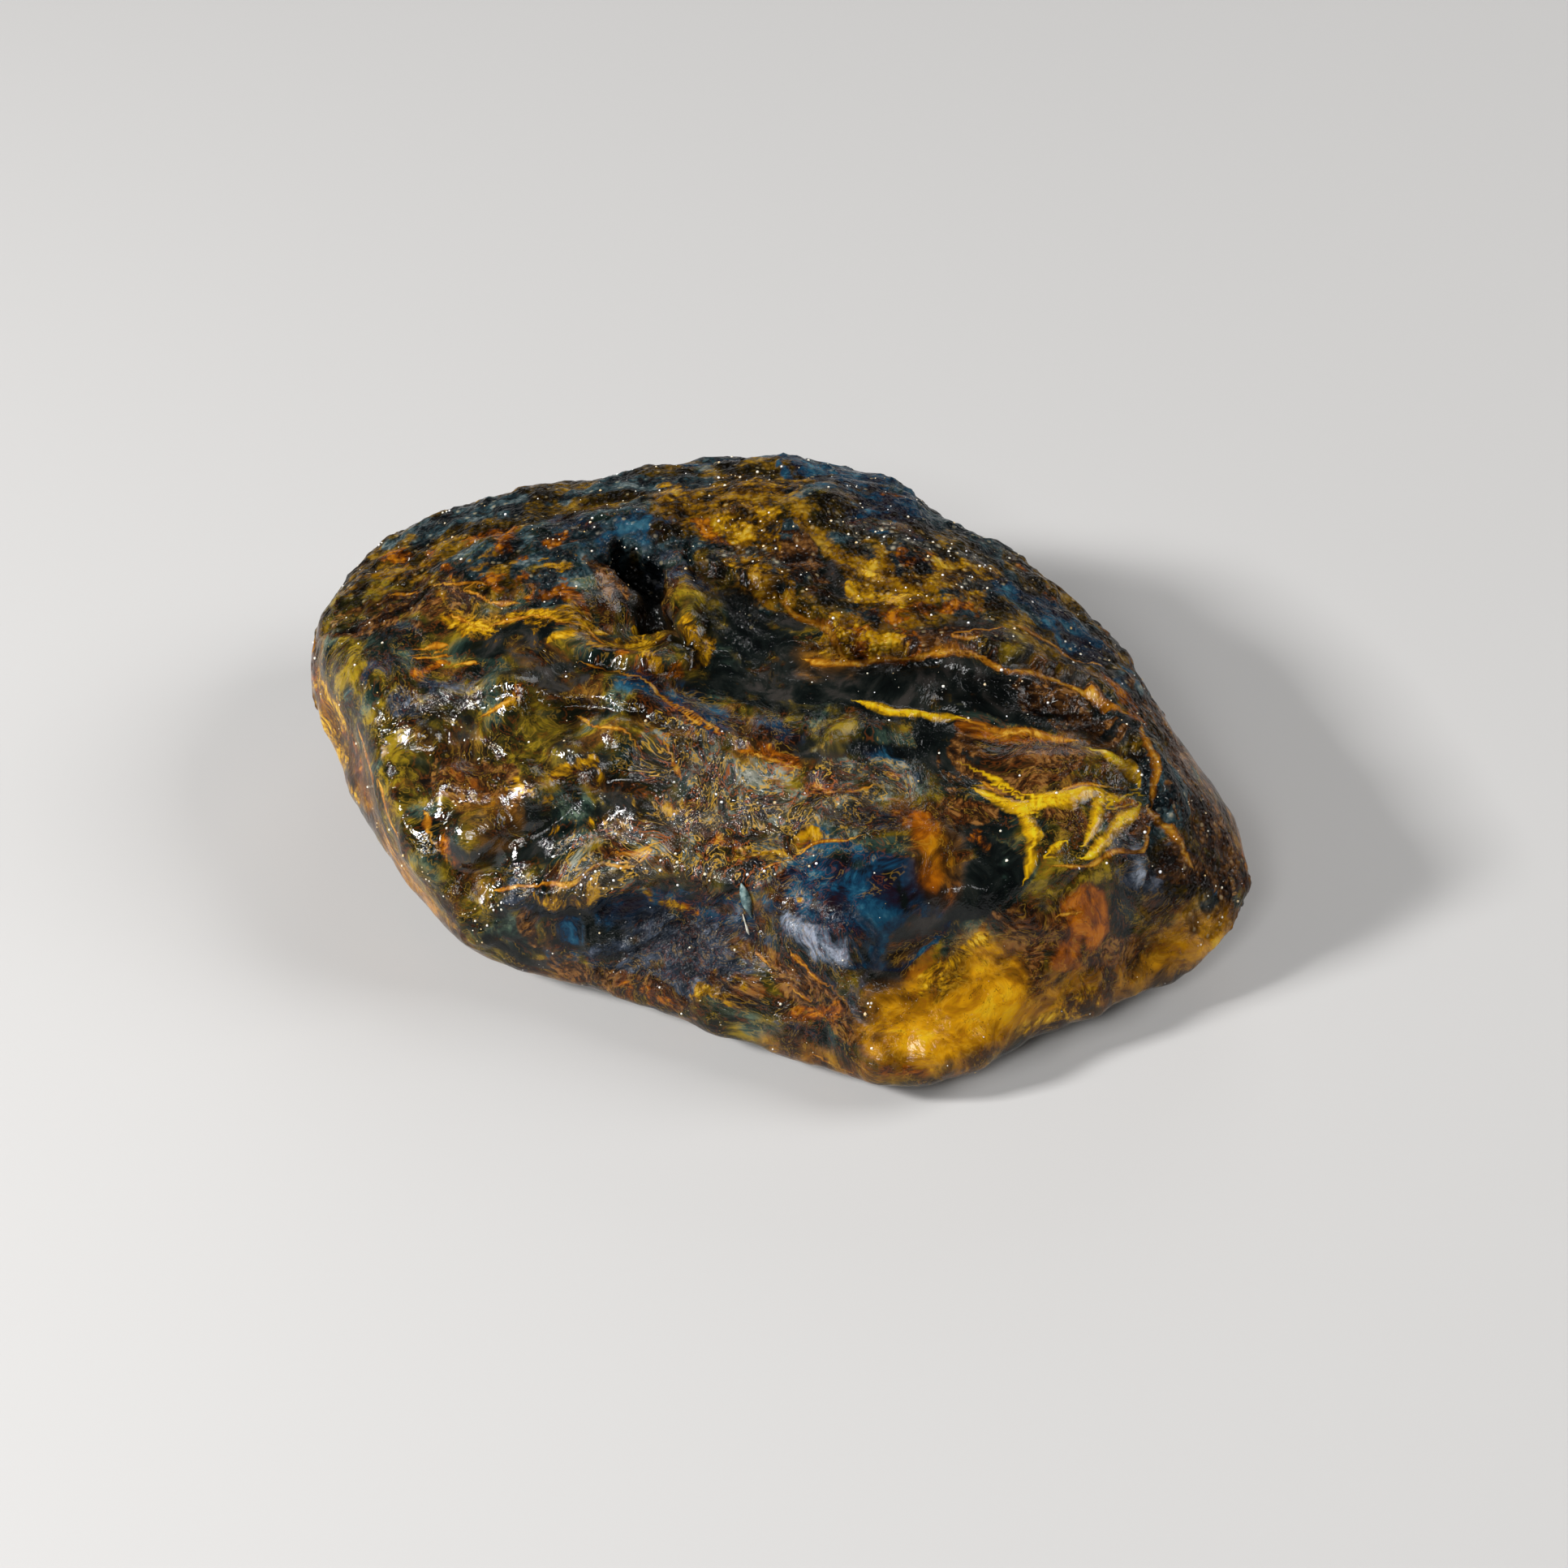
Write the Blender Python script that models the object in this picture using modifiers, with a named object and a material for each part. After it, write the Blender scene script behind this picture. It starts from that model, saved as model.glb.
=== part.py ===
"""Raw amber piece: one broken lump of amber, wider than it is tall, that lies on its flattest side.

The lump starts as the convex hull of its corners, walked round in rings from the base to the crest.
It is then remeshed, rounded, and worked over with the larger crests, hollows and shell-like ripples
of broken amber. Lengths are in millimetres until the mesh is scaled to metres at the end. +X runs
along the length and -Y is the broken front. The origin is the middle of the underside of the
bounding box.
"""

import math

import bmesh
import bpy
from mathutils import Matrix, Vector, noise

# Driving dimensions, in millimetres.
LENGTH = 77.0
WIDTH = 60.0
HEIGHT = 25.0
GRAIN = 1.62  # edge length of the remeshed faces
ROUNDING_PASSES = 6
ROUNDING_SHARE = 0.5  # how far each pass moves a point towards the middle of its neighbours
ROUGHNESS = 0.55  # depth of the broken surface's small unevenness
BASE_BAND = 1.1  # height above the base over which the relief fades out
BASE_HAIR = 0.3  # what lies this near the base is laid flat on it
HOLLOW_EDGE = 1.5  # how gently a hollow runs out: 1 leaves a sharp edge round it
MILLIMETRE = 0.001

# The lump's corners in rings, each walked from the left end along the front and back along the rear.
BASE_RING = [
    (-25, 5, 0), (-20, -7, 0), (-8, -15, 0), (5, -21, 0), (15, -20, 0), (26, -13, 0),
    (30, -5, 0), (24, 8, 0), (8, 22, 0), (-10, 24, 0), (-23, 17, 0),
]
LOWER_EDGE = [
    (-37.5, 16, 10), (-39, 9.5, 9), (-38, 6, 8), (-36.3, 1.2, 7), (-33.4, -3, 6), (-28.8, -10, 4.5),
    (-24, -15.7, 3.5), (-18, -19, 3), (-10.2, -21.5, 2.5), (-1.6, -25.2, 2.5), (3.8, -28, 2.5),
    (8.5, -30.2, 2.5), (13, -29.8, 2.5), (17.5, -28, 2.5), (23.3, -24.5, 3), (31, -20.3, 3),
    (35.5, -17.8, 3.5), (38.2, -14.3, 5), (39.2, -10.6, 7), (37.6, -6.6, 9.5),
]
REAR_EDGE = [
    (36, -2, 6), (31, 8, 7), (22, 20, 7), (10, 29.5, 7), (-6, 31.5, 7), (-20, 30.5, 6.5), (-31, 26, 6.5),
    (-37, 20, 8),
]
REAR_SHOULDER = [
    (34, 1.3, 12), (30, 8, 14), (26.4, 13.6, 15), (20, 18, 16), (11.4, 25.2, 18), (6.2, 28.2, 19),
    (-5, 28.8, 18.5), (-17.6, 28, 16.5), (-26, 27.8, 15), (-32, 25.5, 13.5), (-36.4, 20, 12),
]
LEFT_RIM = [
    (-35.6, 11.7, 15), (-34, 3.9, 15.7), (-31.9, -1.5, 15.8), (-30.6, -6.4, 14.7), (-29, -10.6, 12.6),
    (-26.4, -14, 9), (-23.4, -16, 5.5),
]
FRONT_RIM = [
    (-19.9, -16, 9.5), (-15, -17.2, 11.6), (-8.1, -17.4, 14), (-1.1, -19.2, 14.3), (5, -19.5, 15),
]
PROW = [(6, -23.4, 11.6), (6.4, -25.6, 8.6), (7.7, -27.2, 6)]
RIGHT_RIM = [
    (9.1, -21.6, 13.7), (13.9, -20.6, 14.7), (18.7, -20.3, 14.7), (23, -18.6, 15.1), (27, -17, 15),
    (31, -11.5, 15.8),
]
CREST = [
    (3.3, 15.9, 23), (13.3, 10.8, 22.4), (-10.2, 16.1, 21.8), (-22.2, 12.6, 20.4), (2, -3, 21.2),
    (20, -2, 20), (-16, -3, 18.6),
]
CORNERS = (BASE_RING, LOWER_EDGE, REAR_EDGE, REAR_SHOULDER, LEFT_RIM, FRONT_RIM, PROW, RIGHT_RIM, CREST)

# Crests and troughs: (points along the line, height above or below the face, half-width, keenness).
# Keenness 1 gives a sharp broken edge and 2 a worn, rounded one.
CREASES = (
    # the left rim, above the steep left flank
    ([(-36, 11, 15), (-33.4, 2.7, 16.6), (-31.3, -3, 16.9), (-30, -7.5, 15.6), (-28.7, -11.2, 13.4),
      (-26, -15.3, 10.7), (-22.9, -17.1, 7)], 0.9, 1.7, 1),
    # the front rim, above the left front face
    ([(-22.9, -17.1, 7), (-19.8, -17.3, 11.2), (-14.9, -17.9, 12.5), (-10.8, -17.5, 14.1),
      (-5.7, -18.3, 14.6), (-1.1, -19.7, 14.9), (5.3, -22.4, 13.7)], 1.3, 1.6, 1),
    # the prow, where the two front faces meet
    ([(5.3, -22.4, 13.7), (6.2, -26, 9.4), (7.5, -27.6, 7), (8.5, -29.2, 4.5)], 1.2, 1.6, 1),
    # the right rim, above the right front face
    ([(5.7, -23.2, 13.1), (9.1, -22, 14.5), (13.9, -21, 15.4), (18.6, -20.7, 15.4),
      (22.8, -18.8, 15.7), (26.4, -17.4, 15.6), (30.2, -12, 16.4)], 0.9, 1.6, 1),
    # the lip of the rear skin, over the smooth broken hollow
    ([(-7.4, 11.1, 20.7), (-3.3, 7.2, 22.7), (0.6, 4.8, 23), (3.9, 1.8, 21.7), (7.1, -0.8, 21),
      (10.3, -0.9, 21.3), (15.5, -0.7, 22), (18.7, -1.1, 21.6), (24.7, -1.7, 18.7),
      (28.5, -8.2, 17.6), (30.2, -12, 16.4)], 1.1, 1.5, 1),
    # the lip round the pit
    ([(-7.8, 11.5, 20.8), (-5.4, 5.5, 21.5), (-5.4, 1.4, 21.2), (-6.4, -1.5, 20.7), (-9.7, -2.9, 21),
      (-13.6, -1.4, 20.9)], 1.0, 1.4, 1),
    # knuckles of the left front, and the troughs between them
    ([(-27, -13.5, 12.4), (-22.4, -12.7, 14.8), (-19, -9.5, 15.8), (-14.7, -9.4, 18.2),
      (-11.5, -8.6, 19.3)], 1.2, 2.3, 2),
    ([(-29.5, -0.4, 17.6), (-26.8, -1.9, 17.2), (-22.9, -1.7, 17.8), (-20.1, -4, 19)], 0.9, 1.9, 2),
    ([(-20.1, -4, 19), (-20, -6.8, 18.5), (-21.2, -8.8, 16.4)], 0.9, 1.9, 2),
    ([(-22.5, -15.7, 11.5), (-18, -14, 14.2), (-13.5, -12.4, 16), (-10, -11, 17.6)], -0.8, 1.5, 2),
    ([(-29, -6, 15.6), (-24.6, -6.5, 16.5), (-22.4, -4.8, 17.4)], -0.9, 1.9, 2),
    # the thin seams of the smooth hollow
    ([(-16.2, -2.9, 20.6), (-12.3, -4.4, 20.2), (-5.8, -6.5, 20.4), (0, -8.7, 20.7),
      (6.3, -9.6, 19.8)], 0.5, 1.5, 1),
    ([(7.1, -1.2, 20.9), (16.1, -2.9, 20.6), (22, -3.3, 19.1), (25.8, -4.9, 18.1),
      (29.3, -11.7, 17)], 0.5, 1.2, 1),
)
# Hollows, and with a negative depth bulges: (centre, radii along X, Y and Z, depth).
HOLLOWS = (
    ((-10.8, 5.5, 20.5), (5.4, 8, 8), 4.4),
    ((1, -4.5, 21), (13, 6.5, 9), 2.2),
    ((20, -6.5, 19), (10, 4.2, 8), 1.8),
    ((15, -14.5, 17), (8, 4, 8), 1.2),
    ((-34.5, 0, 11), (6, 11, 6), 1.2),
    ((14, -24.5, 11), (8, 5, 4.5), 1.3),
    ((29, -19, 9), (5, 5, 5), 0.8),
    ((14, -29, 4), (7, 4, 4), -0.9),
    ((-6, -21.5, 11), (12, 4, 5), 1.3),
    ((-15, -21, 5), (6, 4, 3.5), 0.7),
    ((33, 2, 12), (6, 9, 6), 1.0),
    ((17, 22, 13), (9, 7, 7), 1.1),
    ((-24, 27, 12), (9, 7, 7), 1.2),
    ((-22, 8, 20), (7, 5, 7), -0.9),
    ((3, 16, 23), (9, 6, 7), -0.8),
    ((0, 31, 7), (12, 5, 6), 0.9),
)
# Shell-like ripples: (centre that the rings open out from, wavelength, height, reach).
RIPPLES = (
    ((-22, 8, 22), 5.0, 0.25, 24),
    ((11, -18, 24), 4.6, 0.18, 20),
)
NOISE_LAYERS = ((0.12, 1.0), (0.24, 0.7), (0.36, 0.45))  # (waves in a millimetre, share of ROUGHNESS)
# Where the surface is knobbly: (centre, radii, depth of the knobs).
KNOBBLY = (
    ((-1, -14, 17.5), (10, 4.5, 6), 0.7),
    ((0, 17, 18), (36, 16, 14), 0.8),
)
KNOB_WAVES = 0.33  # knobs in a millimetre


def clear_scene():
    for obj in list(bpy.data.objects):
        bpy.data.objects.remove(obj, do_unlink=True)


def new_collection(name):
    collection = bpy.data.collections.new(name)
    bpy.context.scene.collection.children.link(collection)
    return collection


def amber_material():
    material = bpy.data.materials.new("amber")
    material.use_nodes = True
    shader = material.node_tree.nodes["Principled BSDF"]
    shader.inputs["Base Color"].default_value = (0.26, 0.15, 0.03, 1)
    shader.inputs["Roughness"].default_value = 0.22
    shader.inputs["Metallic"].default_value = 0.0
    shader.inputs["IOR"].default_value = 1.54
    shader.inputs["Transmission Weight"].default_value = 0.6
    return material


def corner_hull(collection):
    """The convex hull of every ring of corners."""
    shape = bmesh.new()
    for ring in CORNERS:
        for corner in ring:
            shape.verts.new(corner)
    hull = bmesh.ops.convex_hull(shape, input=shape.verts)
    inside = hull["geom_interior"] + hull["geom_unused"]
    unused = {element for element in inside if isinstance(element, bmesh.types.BMVert)}
    bmesh.ops.delete(shape, geom=list(unused), context="VERTS")
    bmesh.ops.recalc_face_normals(shape, faces=shape.faces)
    mesh = bpy.data.meshes.new("rough_hull")
    shape.to_mesh(mesh)
    shape.free()
    obj = bpy.data.objects.new("rough_hull", mesh)
    collection.objects.link(obj)
    return obj


def rounded_mesh(obj):
    """An even mesh of the hull with its edges worn round."""
    remesh = obj.modifiers.new("even_faces", "REMESH")
    remesh.mode = "VOXEL"
    remesh.voxel_size = GRAIN
    rounding = obj.modifiers.new("worn_edges", "SMOOTH")
    rounding.factor = ROUNDING_SHARE
    rounding.iterations = ROUNDING_PASSES
    bpy.context.view_layer.update()
    graph = bpy.context.evaluated_depsgraph_get()
    mesh = bpy.data.meshes.new_from_object(obj.evaluated_get(graph))
    bpy.data.objects.remove(obj, do_unlink=True)
    return mesh


def distance_to_line(point, line):
    """The distance from a point to the nearest stretch of a line of points."""
    nearest = math.inf
    for start, end in zip(line, line[1:]):
        a, b = Vector(start), Vector(end)
        share = max(0.0, min(1.0, (point - a).dot(b - a) / (b - a).length_squared))
        nearest = min(nearest, (point - a.lerp(b, share)).length)
    return nearest


def reach_of(point, centre, radii):
    """0 at the centre of an ellipsoid, and 1 on it."""
    return math.sqrt(sum(((p - c) / r) ** 2 for p, c, r in zip(point, centre, radii)))


def crease_height(point):
    height = 0.0
    for line, peak, half_width, keenness in CREASES:
        height += peak * math.exp(-((distance_to_line(point, line) / half_width) ** keenness))
    return height


def hollow_depth(point):
    depth = 0.0
    for centre, radii, deepest in HOLLOWS:
        reach = reach_of(point, centre, radii)
        if reach < 1:
            depth += deepest * (1 - reach * reach) ** HOLLOW_EDGE
    return depth


def ripple_height(point):
    height = 0.0
    for centre, wavelength, peak, reach in RIPPLES:
        away = (point - Vector(centre)).length
        if away < reach:
            height += peak * (1 - away / reach) * math.sin(2 * math.pi * away / wavelength)
    return height


def unevenness(point):
    height = ROUGHNESS * sum(share * noise.noise(point * waves) for waves, share in NOISE_LAYERS)
    for centre, radii, depth in KNOBBLY:
        inside = max(0.0, 1 - reach_of(point, centre, radii) ** 2)
        height += depth * inside * noise.noise(point * KNOB_WAVES)
    return height


def work_surface(mesh):
    """Raises the crests and sinks the hollows along each point's normal, and leaves the base flat."""
    normals = [v.normal.copy() for v in mesh.vertices]
    for vertex, normal in zip(mesh.vertices, normals):
        point = vertex.co.copy()
        relief = crease_height(point) - hollow_depth(point) + ripple_height(point) + unevenness(point)
        fade = max(0.0, min(1.0, point.z / BASE_BAND))
        vertex.co = point + normal * relief * fade
        if vertex.co.z < BASE_HAIR:
            vertex.co.z = 0.0


def fit_to_size(mesh):
    """Stretches the mesh to its driving dimensions, with the middle of its underside at the origin."""
    low = Vector([min(v.co[i] for v in mesh.vertices) for i in range(3)])
    high = Vector([max(v.co[i] for v in mesh.vertices) for i in range(3)])
    middle, size = (low + high) / 2, high - low
    stretch = Matrix.Diagonal((LENGTH / size.x, WIDTH / size.y, HEIGHT / size.z, 1))
    mesh.transform(stretch @ Matrix.Translation((-middle.x, -middle.y, -low.z)))
    mesh.update()


def amber_piece(collection):
    mesh = rounded_mesh(corner_hull(collection))
    fit_to_size(mesh)
    work_surface(mesh)
    fit_to_size(mesh)
    mesh.transform(Matrix.Scale(MILLIMETRE, 4))
    mesh.name = "amber_piece"
    mesh.materials.clear()
    mesh.materials.append(amber_material())
    mesh.shade_smooth()
    obj = bpy.data.objects.new("amber_piece", mesh)
    collection.objects.link(obj)
    return obj


def main():
    clear_scene()
    amber_piece(new_collection("raw_amber_piece"))


main()
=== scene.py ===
"""A raw amber piece: a broken lump of clear and clouded amber, with what is sealed in it, on a pale floor.

The lump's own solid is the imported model's. This script gives it its fine broken surface, its
markings and finish, and makes the sealed flakes, crumbs, bubbles and seed that it holds. Lengths in
the tables are in millimetres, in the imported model's frame: +X along the lump, -Y the broken front
and +Z up from the resting side.
"""

import math
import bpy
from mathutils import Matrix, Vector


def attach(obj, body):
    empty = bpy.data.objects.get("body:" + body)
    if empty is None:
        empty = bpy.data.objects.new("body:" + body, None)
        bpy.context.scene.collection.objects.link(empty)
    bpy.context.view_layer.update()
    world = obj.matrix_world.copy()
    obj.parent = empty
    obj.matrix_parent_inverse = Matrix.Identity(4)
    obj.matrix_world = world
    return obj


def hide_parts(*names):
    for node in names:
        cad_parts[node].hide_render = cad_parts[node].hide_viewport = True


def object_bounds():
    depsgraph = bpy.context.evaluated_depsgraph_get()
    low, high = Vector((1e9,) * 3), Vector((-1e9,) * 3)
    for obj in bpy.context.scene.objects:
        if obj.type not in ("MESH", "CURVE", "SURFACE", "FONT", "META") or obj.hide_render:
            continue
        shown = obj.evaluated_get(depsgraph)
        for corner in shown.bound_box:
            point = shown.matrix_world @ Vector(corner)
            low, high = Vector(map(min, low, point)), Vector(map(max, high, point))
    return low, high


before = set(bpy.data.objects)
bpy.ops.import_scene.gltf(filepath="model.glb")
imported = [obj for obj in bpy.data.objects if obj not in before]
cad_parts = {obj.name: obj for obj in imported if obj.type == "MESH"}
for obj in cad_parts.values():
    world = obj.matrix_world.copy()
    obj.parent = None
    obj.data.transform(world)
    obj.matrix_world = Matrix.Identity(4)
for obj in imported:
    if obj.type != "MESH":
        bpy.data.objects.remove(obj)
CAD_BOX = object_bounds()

from types import SimpleNamespace

import bmesh
import bpy
import numpy as np
from bpy.props import FloatProperty, FloatVectorProperty, PointerProperty
from bpy.types import Operator, Panel, PropertyGroup
from mathutils import Vector, noise
from mathutils.bvhtree import BVHTree

bl_info = {
    "name": "Raw Amber Piece",
    "version": (1, 0, 0),
    "blender": (4, 5, 0),
    "location": "3D View > Sidebar > Amber",
    "description": "Makes a broken lump of raw amber with what is sealed in it",
    "category": "Add Mesh",
}

NODE = "amber_piece"
BODY = "root"
MM = 0.001

NOISE_SEED = 5  # without it the swirling noise would differ from run to run
MERGE_DISTANCE = 1e-6
BASE_BAND = (0.15, 1.4)  # heights between which the broken relief grows in from the resting side
BOX_SLACK = 0.5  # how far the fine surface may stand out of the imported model's box
FULLNESS = 0.32  # makes up for what the fairing takes off
FAIRING = (0.5, 4)  # how strongly, and how many times, the fine mesh is smoothed
STEP_KEENNESS = 0.28  # how far from its edge a broken step takes to rise
STEP_REACH = 2.4  # how far from its edge a broken step fades out
# Swirls: waves in a millimetre, and how far they move what is read through them.
BROAD_SWIRL = (0.16, 3.0)
SLOW_SWIRL = (0.14, 2.8)
FINE_SWIRL = (0.55, 0.9)
STRAY = (0.3, 0.8)
STEP_STRAY = (0.5, 0.5)
GROOVE_STRAY = (0.4, 0.6)
SLOT_STRAYS = ((0.3, 1.0), (0.9, 0.5))
# The relief's noises: (waves in a millimetre, octaves, shift), and before them how high each one is.
BROAD_HEIGHT, BROAD_NOISE = 0.12, (0.22, 3, 0.0)
BEADING, BEADING_NOISE = 0.8, (1.1, 2, 3.0)  # how unevenly the rims stand out
RIND_HEIGHT, RIND_NOISE = 0.30, (0.45, 4, 2.0)
FIBRE_GRAIN_HEIGHT, FIBRE_GRAIN_NOISE = 0.12, (1.2, 2, 9.0)
TEARING, TEARING_NOISE = 0.6, (0.45, 3, 6.0)  # how uneven the torn slots' depth is
# Those drawn out along the flow: (waves in a millimetre, reach, octaves, shift), and how high.
RUN_STEPS = 5
RUN_EVENING = 3  # what the sum of the steps is divided by, as they partly even each other out
RUN_HEIGHT, RUN_NOISE = 0.10, (0.5, 5.0, 3, 7.0)
FIBRE_HEIGHT, FIBRE_NOISE = 0.42, (0.6, 3.0, 3, 1.0)
RIPPLE_HEIGHT, RIPPLE_NOISE = 0.22, (0.8, 3.0, 3, 4.0)
# The rind's grains and the film's cracks: how high or deep, and the cells in a millimetre.
CRUST_GRAIN_HEIGHT, CRUST_GRAIN_CELLS = 0.26, 0.95
CRACK_DEPTH, CRACK_CELLS = 0.26, 0.42
CRACK_WIDTH = 0.22  # share of a cell
VEIN_HEIGHT = 0.35
SEAM_HEIGHT = 0.15
# The noises of the surface's colours and of its clusters of glints: (waves in a millimetre, octaves, shift).
HUE_NOISE = (0.2, 3, 13.0)
PATCH_NOISE = (0.42, 4, 40.0)
CLUSTER_NOISE = (0.7, 3, 20.0)
KIND_EDGE = (0.3, 0.7)  # how far inside a marking its own relief begins, and is full
THIN_MARKINGS = ("vein", "seam")
# How far a marking's edge takes to fade, to each side: most kinds, and those with a softness of their own.
SOFTNESS = 0.7
OWN_SOFTNESS = {
    "rind": 2.0, "ochre": 2.0, "dark": 2.0, "olive": 2.0, "blue": 2.0, "film": 2.0, "fibres": 2.0,
    "honey": 2.0, "glow": 2.0, "ember": 1.2, "vein": 1.0, "seam": 1.0,
}
# How much of its half-width a marking's edge strays.
RAGGEDNESS = 1.5
OWN_RAGGEDNESS = {"ember": 0.5, "honey": 0.5, "glow": 0.5, "slate_and_sheen": 0.5, "vein": 0.3, "seam": 0.3}
THIN_TAPER = 3.0  # half-widths over which a thin marking comes to a point
PATH_STEP = 1.2  # between the points at which a marking is laid on the surface
FLOW_REACH = 6.0  # how far a marking leads the flow around it
HOLLOW_DEPTHS = (-0.7, -0.05)  # how far under the plain form the surface is fully, and just, a hollow
FLOW_BENDS = (0.2, 0.55)  # waves in a millimetre, and how far they turn the flow aside
MAIN_FLOW = (0.92, -0.32, -0.1)
CLEAR_OF_BASE = (1.2, 2.4)  # heights between which what is sealed in the lump thins out to nothing

FULL_TURNS = (6.28, 6.28, 6.28)  # radians about each axis, as far as a strewn bit may be turned
SPINDLE_SIDES = 16
SEED_RISE = 0.1 * MM  # how far the seed's middle line stands out of the broken surface
# The ends of the seed and of its stalk, in pixels of the view, and how thick each is along its length.
SEED_ENDS = ((913, 1088), (926, 1131))
SEED_SWELL = (0.05, 0.55, 0.85, 1.0, 0.95, 0.75, 0.4, 0.05)
STALK_ENDS = ((915, 1126), (923, 1152))
STALK_SWELL = (0.05, 0.18, 0.16, 0.22, 0.3, 0.05)

AIM = (0.001, -0.0045, 0.011)  # what the camera looks at
SENSOR = 36.0  # millimetres, for the lens
FRAME_WIDTH = 1932  # pixels
PIXELS_PER_MM = 15.2  # at the lump
FLOOR_HALF = 1.5  # metres
SURROUNDINGS = ((0.9, 0.95, 1.0), 0.06)  # colour and strength
# Each studio light's name, place, width in metres and power in watts.
SOFTBOXES = (
    ("key_light", (-0.42, -0.14, 0.32), 0.09, 3.6),
    ("fill_light", (0.58, 0.05, 0.48), 0.40, 3.5),
    ("front_light", (-0.21, -0.56, 0.60), 0.20, 2.2),
    ("back_light", (0.10, 0.70, 0.35), 0.35, 0.7),
)

# Colours from the darkest to the lightest: the bare amber's and its cooler places', then each kind of
# marking's.
OLIVE = ((0.004, 0.005, 0.003), (0.018, 0.017, 0.004), (0.062, 0.048, 0.006), (0.17, 0.115, 0.009),
         (0.42, 0.28, 0.014))
UMBER = ((0.005, 0.003, 0.002), (0.022, 0.011, 0.004), (0.07, 0.033, 0.008), (0.19, 0.085, 0.013),
         (0.45, 0.22, 0.03))
DEEP_GREEN = ((0.002, 0.004, 0.003), (0.007, 0.014, 0.011), (0.018, 0.036, 0.028), (0.05, 0.085, 0.06),
              (0.14, 0.20, 0.13))
TEAL = ((0.005, 0.008, 0.009), (0.016, 0.032, 0.036), (0.036, 0.085, 0.095), (0.09, 0.16, 0.165),
        (0.34, 0.42, 0.38))
GREY_GREEN = ((0.005, 0.007, 0.006), (0.022, 0.034, 0.030), (0.07, 0.095, 0.075), (0.20, 0.22, 0.16),
              (0.50, 0.50, 0.38))
PALETTES = {
    "rind": ((0.007, 0.005, 0.002), (0.034, 0.022, 0.003), (0.12, 0.068, 0.005), (0.30, 0.155, 0.006),
             (0.56, 0.32, 0.025)),
    "ochre": ((0.016, 0.008, 0.002), (0.09, 0.040, 0.003), (0.26, 0.115, 0.004), (0.46, 0.225, 0.005),
              (0.66, 0.39, 0.035)),
    "pale": ((0.02, 0.022, 0.018), (0.09, 0.09, 0.07), (0.26, 0.25, 0.18), (0.62, 0.58, 0.44)),
    "dark": ((0.002, 0.003, 0.003), (0.006, 0.009, 0.008), (0.018, 0.021, 0.018), (0.060, 0.052, 0.046)),
    "olive": OLIVE,
    "blue": ((0.014, 0.006, 0.012), (0.009, 0.018, 0.038), (0.008, 0.046, 0.094), (0.016, 0.095, 0.165),
             (0.07, 0.23, 0.30)),
    "film": ((0.004, 0.006, 0.010), (0.013, 0.020, 0.031), (0.034, 0.050, 0.073), (0.085, 0.11, 0.15),
             (0.30, 0.34, 0.41)),
    # Partly the slate-grey film's own colour, partly painted sheen and highlights on the prow
    "slate_and_sheen": ((0.02, 0.034, 0.05), (0.085, 0.115, 0.155), (0.25, 0.31, 0.38), (0.60, 0.68, 0.78)),
    "rust": ((0.010, 0.005, 0.003), (0.042, 0.016, 0.005), (0.13, 0.050, 0.011), (0.36, 0.16, 0.04)),
    "fibres": ((0.003, 0.003, 0.002), (0.017, 0.013, 0.005), (0.07, 0.048, 0.012), (0.24, 0.16, 0.035),
               (0.66, 0.50, 0.20)),
    "ember": ((0.04, 0.012, 0.002), (0.17, 0.042, 0.002), (0.42, 0.104, 0.002), (0.74, 0.21, 0.004)),
    "honey": ((0.06, 0.022, 0.002), (0.18, 0.068, 0.002), (0.38, 0.148, 0.003), (0.72, 0.30, 0.005)),
    "glow": ((0.22, 0.085, 0.002), (0.52, 0.215, 0.003), (0.90, 0.41, 0.005), (1.0, 0.58, 0.015)),
    "orange": ((0.04, 0.010, 0.002), (0.16, 0.040, 0.002), (0.42, 0.115, 0.004), (0.82, 0.29, 0.008)),
    "gold": ((0.04, 0.019, 0.002), (0.17, 0.078, 0.003), (0.42, 0.20, 0.004), (0.78, 0.40, 0.006),
             (1.0, 0.64, 0.05)),
    "vein": ((0.08, 0.045, 0.002), (0.38, 0.20, 0.003), (0.90, 0.50, 0.005), (1.0, 0.74, 0.02)),
    "seam": ((0.06, 0.02, 0.003), (0.26, 0.085, 0.005), (0.60, 0.23, 0.010), (0.95, 0.52, 0.06)),
}
SKIN_SHADE = (0.44, 0.43, 0.46)  # darkens the colours where little light passes into the amber
# The colour that the painted shade in the hollows darkens toward
HOLLOW_SHADE = (0.12, 0.10, 0.09)
GOLD_THREAD = (0.80, 0.44, 0.04)
RUST_THREAD = (0.42, 0.10, 0.01)
PALE_THREAD = (0.62, 0.58, 0.50)
CRACK = (0.010, 0.009, 0.006)
# Colour of the painted highlights on the crust's lightest beads
PAINTED_CRUST_HIGHLIGHT = (0.80, 0.66, 0.34)
# The noises that mix the colours: (waves in a millimetre, detail, roughness, shift).
MIDDLE_NOISE = (0.55, 4.0, 0.6, 11.0)
MIDDLE_CRUST_NOISE = (0.55, 3.0, 0.6, 71.0)
FINE_NOISE = (1.8, 3.0, 0.65, 23.0)
GRAIN_NOISE = (3.6, 2.0, 0.65, 5.0)
# The noises that are drawn out along the flow: (waves in a millimetre, reach, detail, shift, steps).
STREAKS = (0.75, 4.0, 3.0, 31.0, 4)
HAIRS = (1.9, 1.8, 2.0, 47.0, 3)
BEAD_WAVES = 1.9
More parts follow.
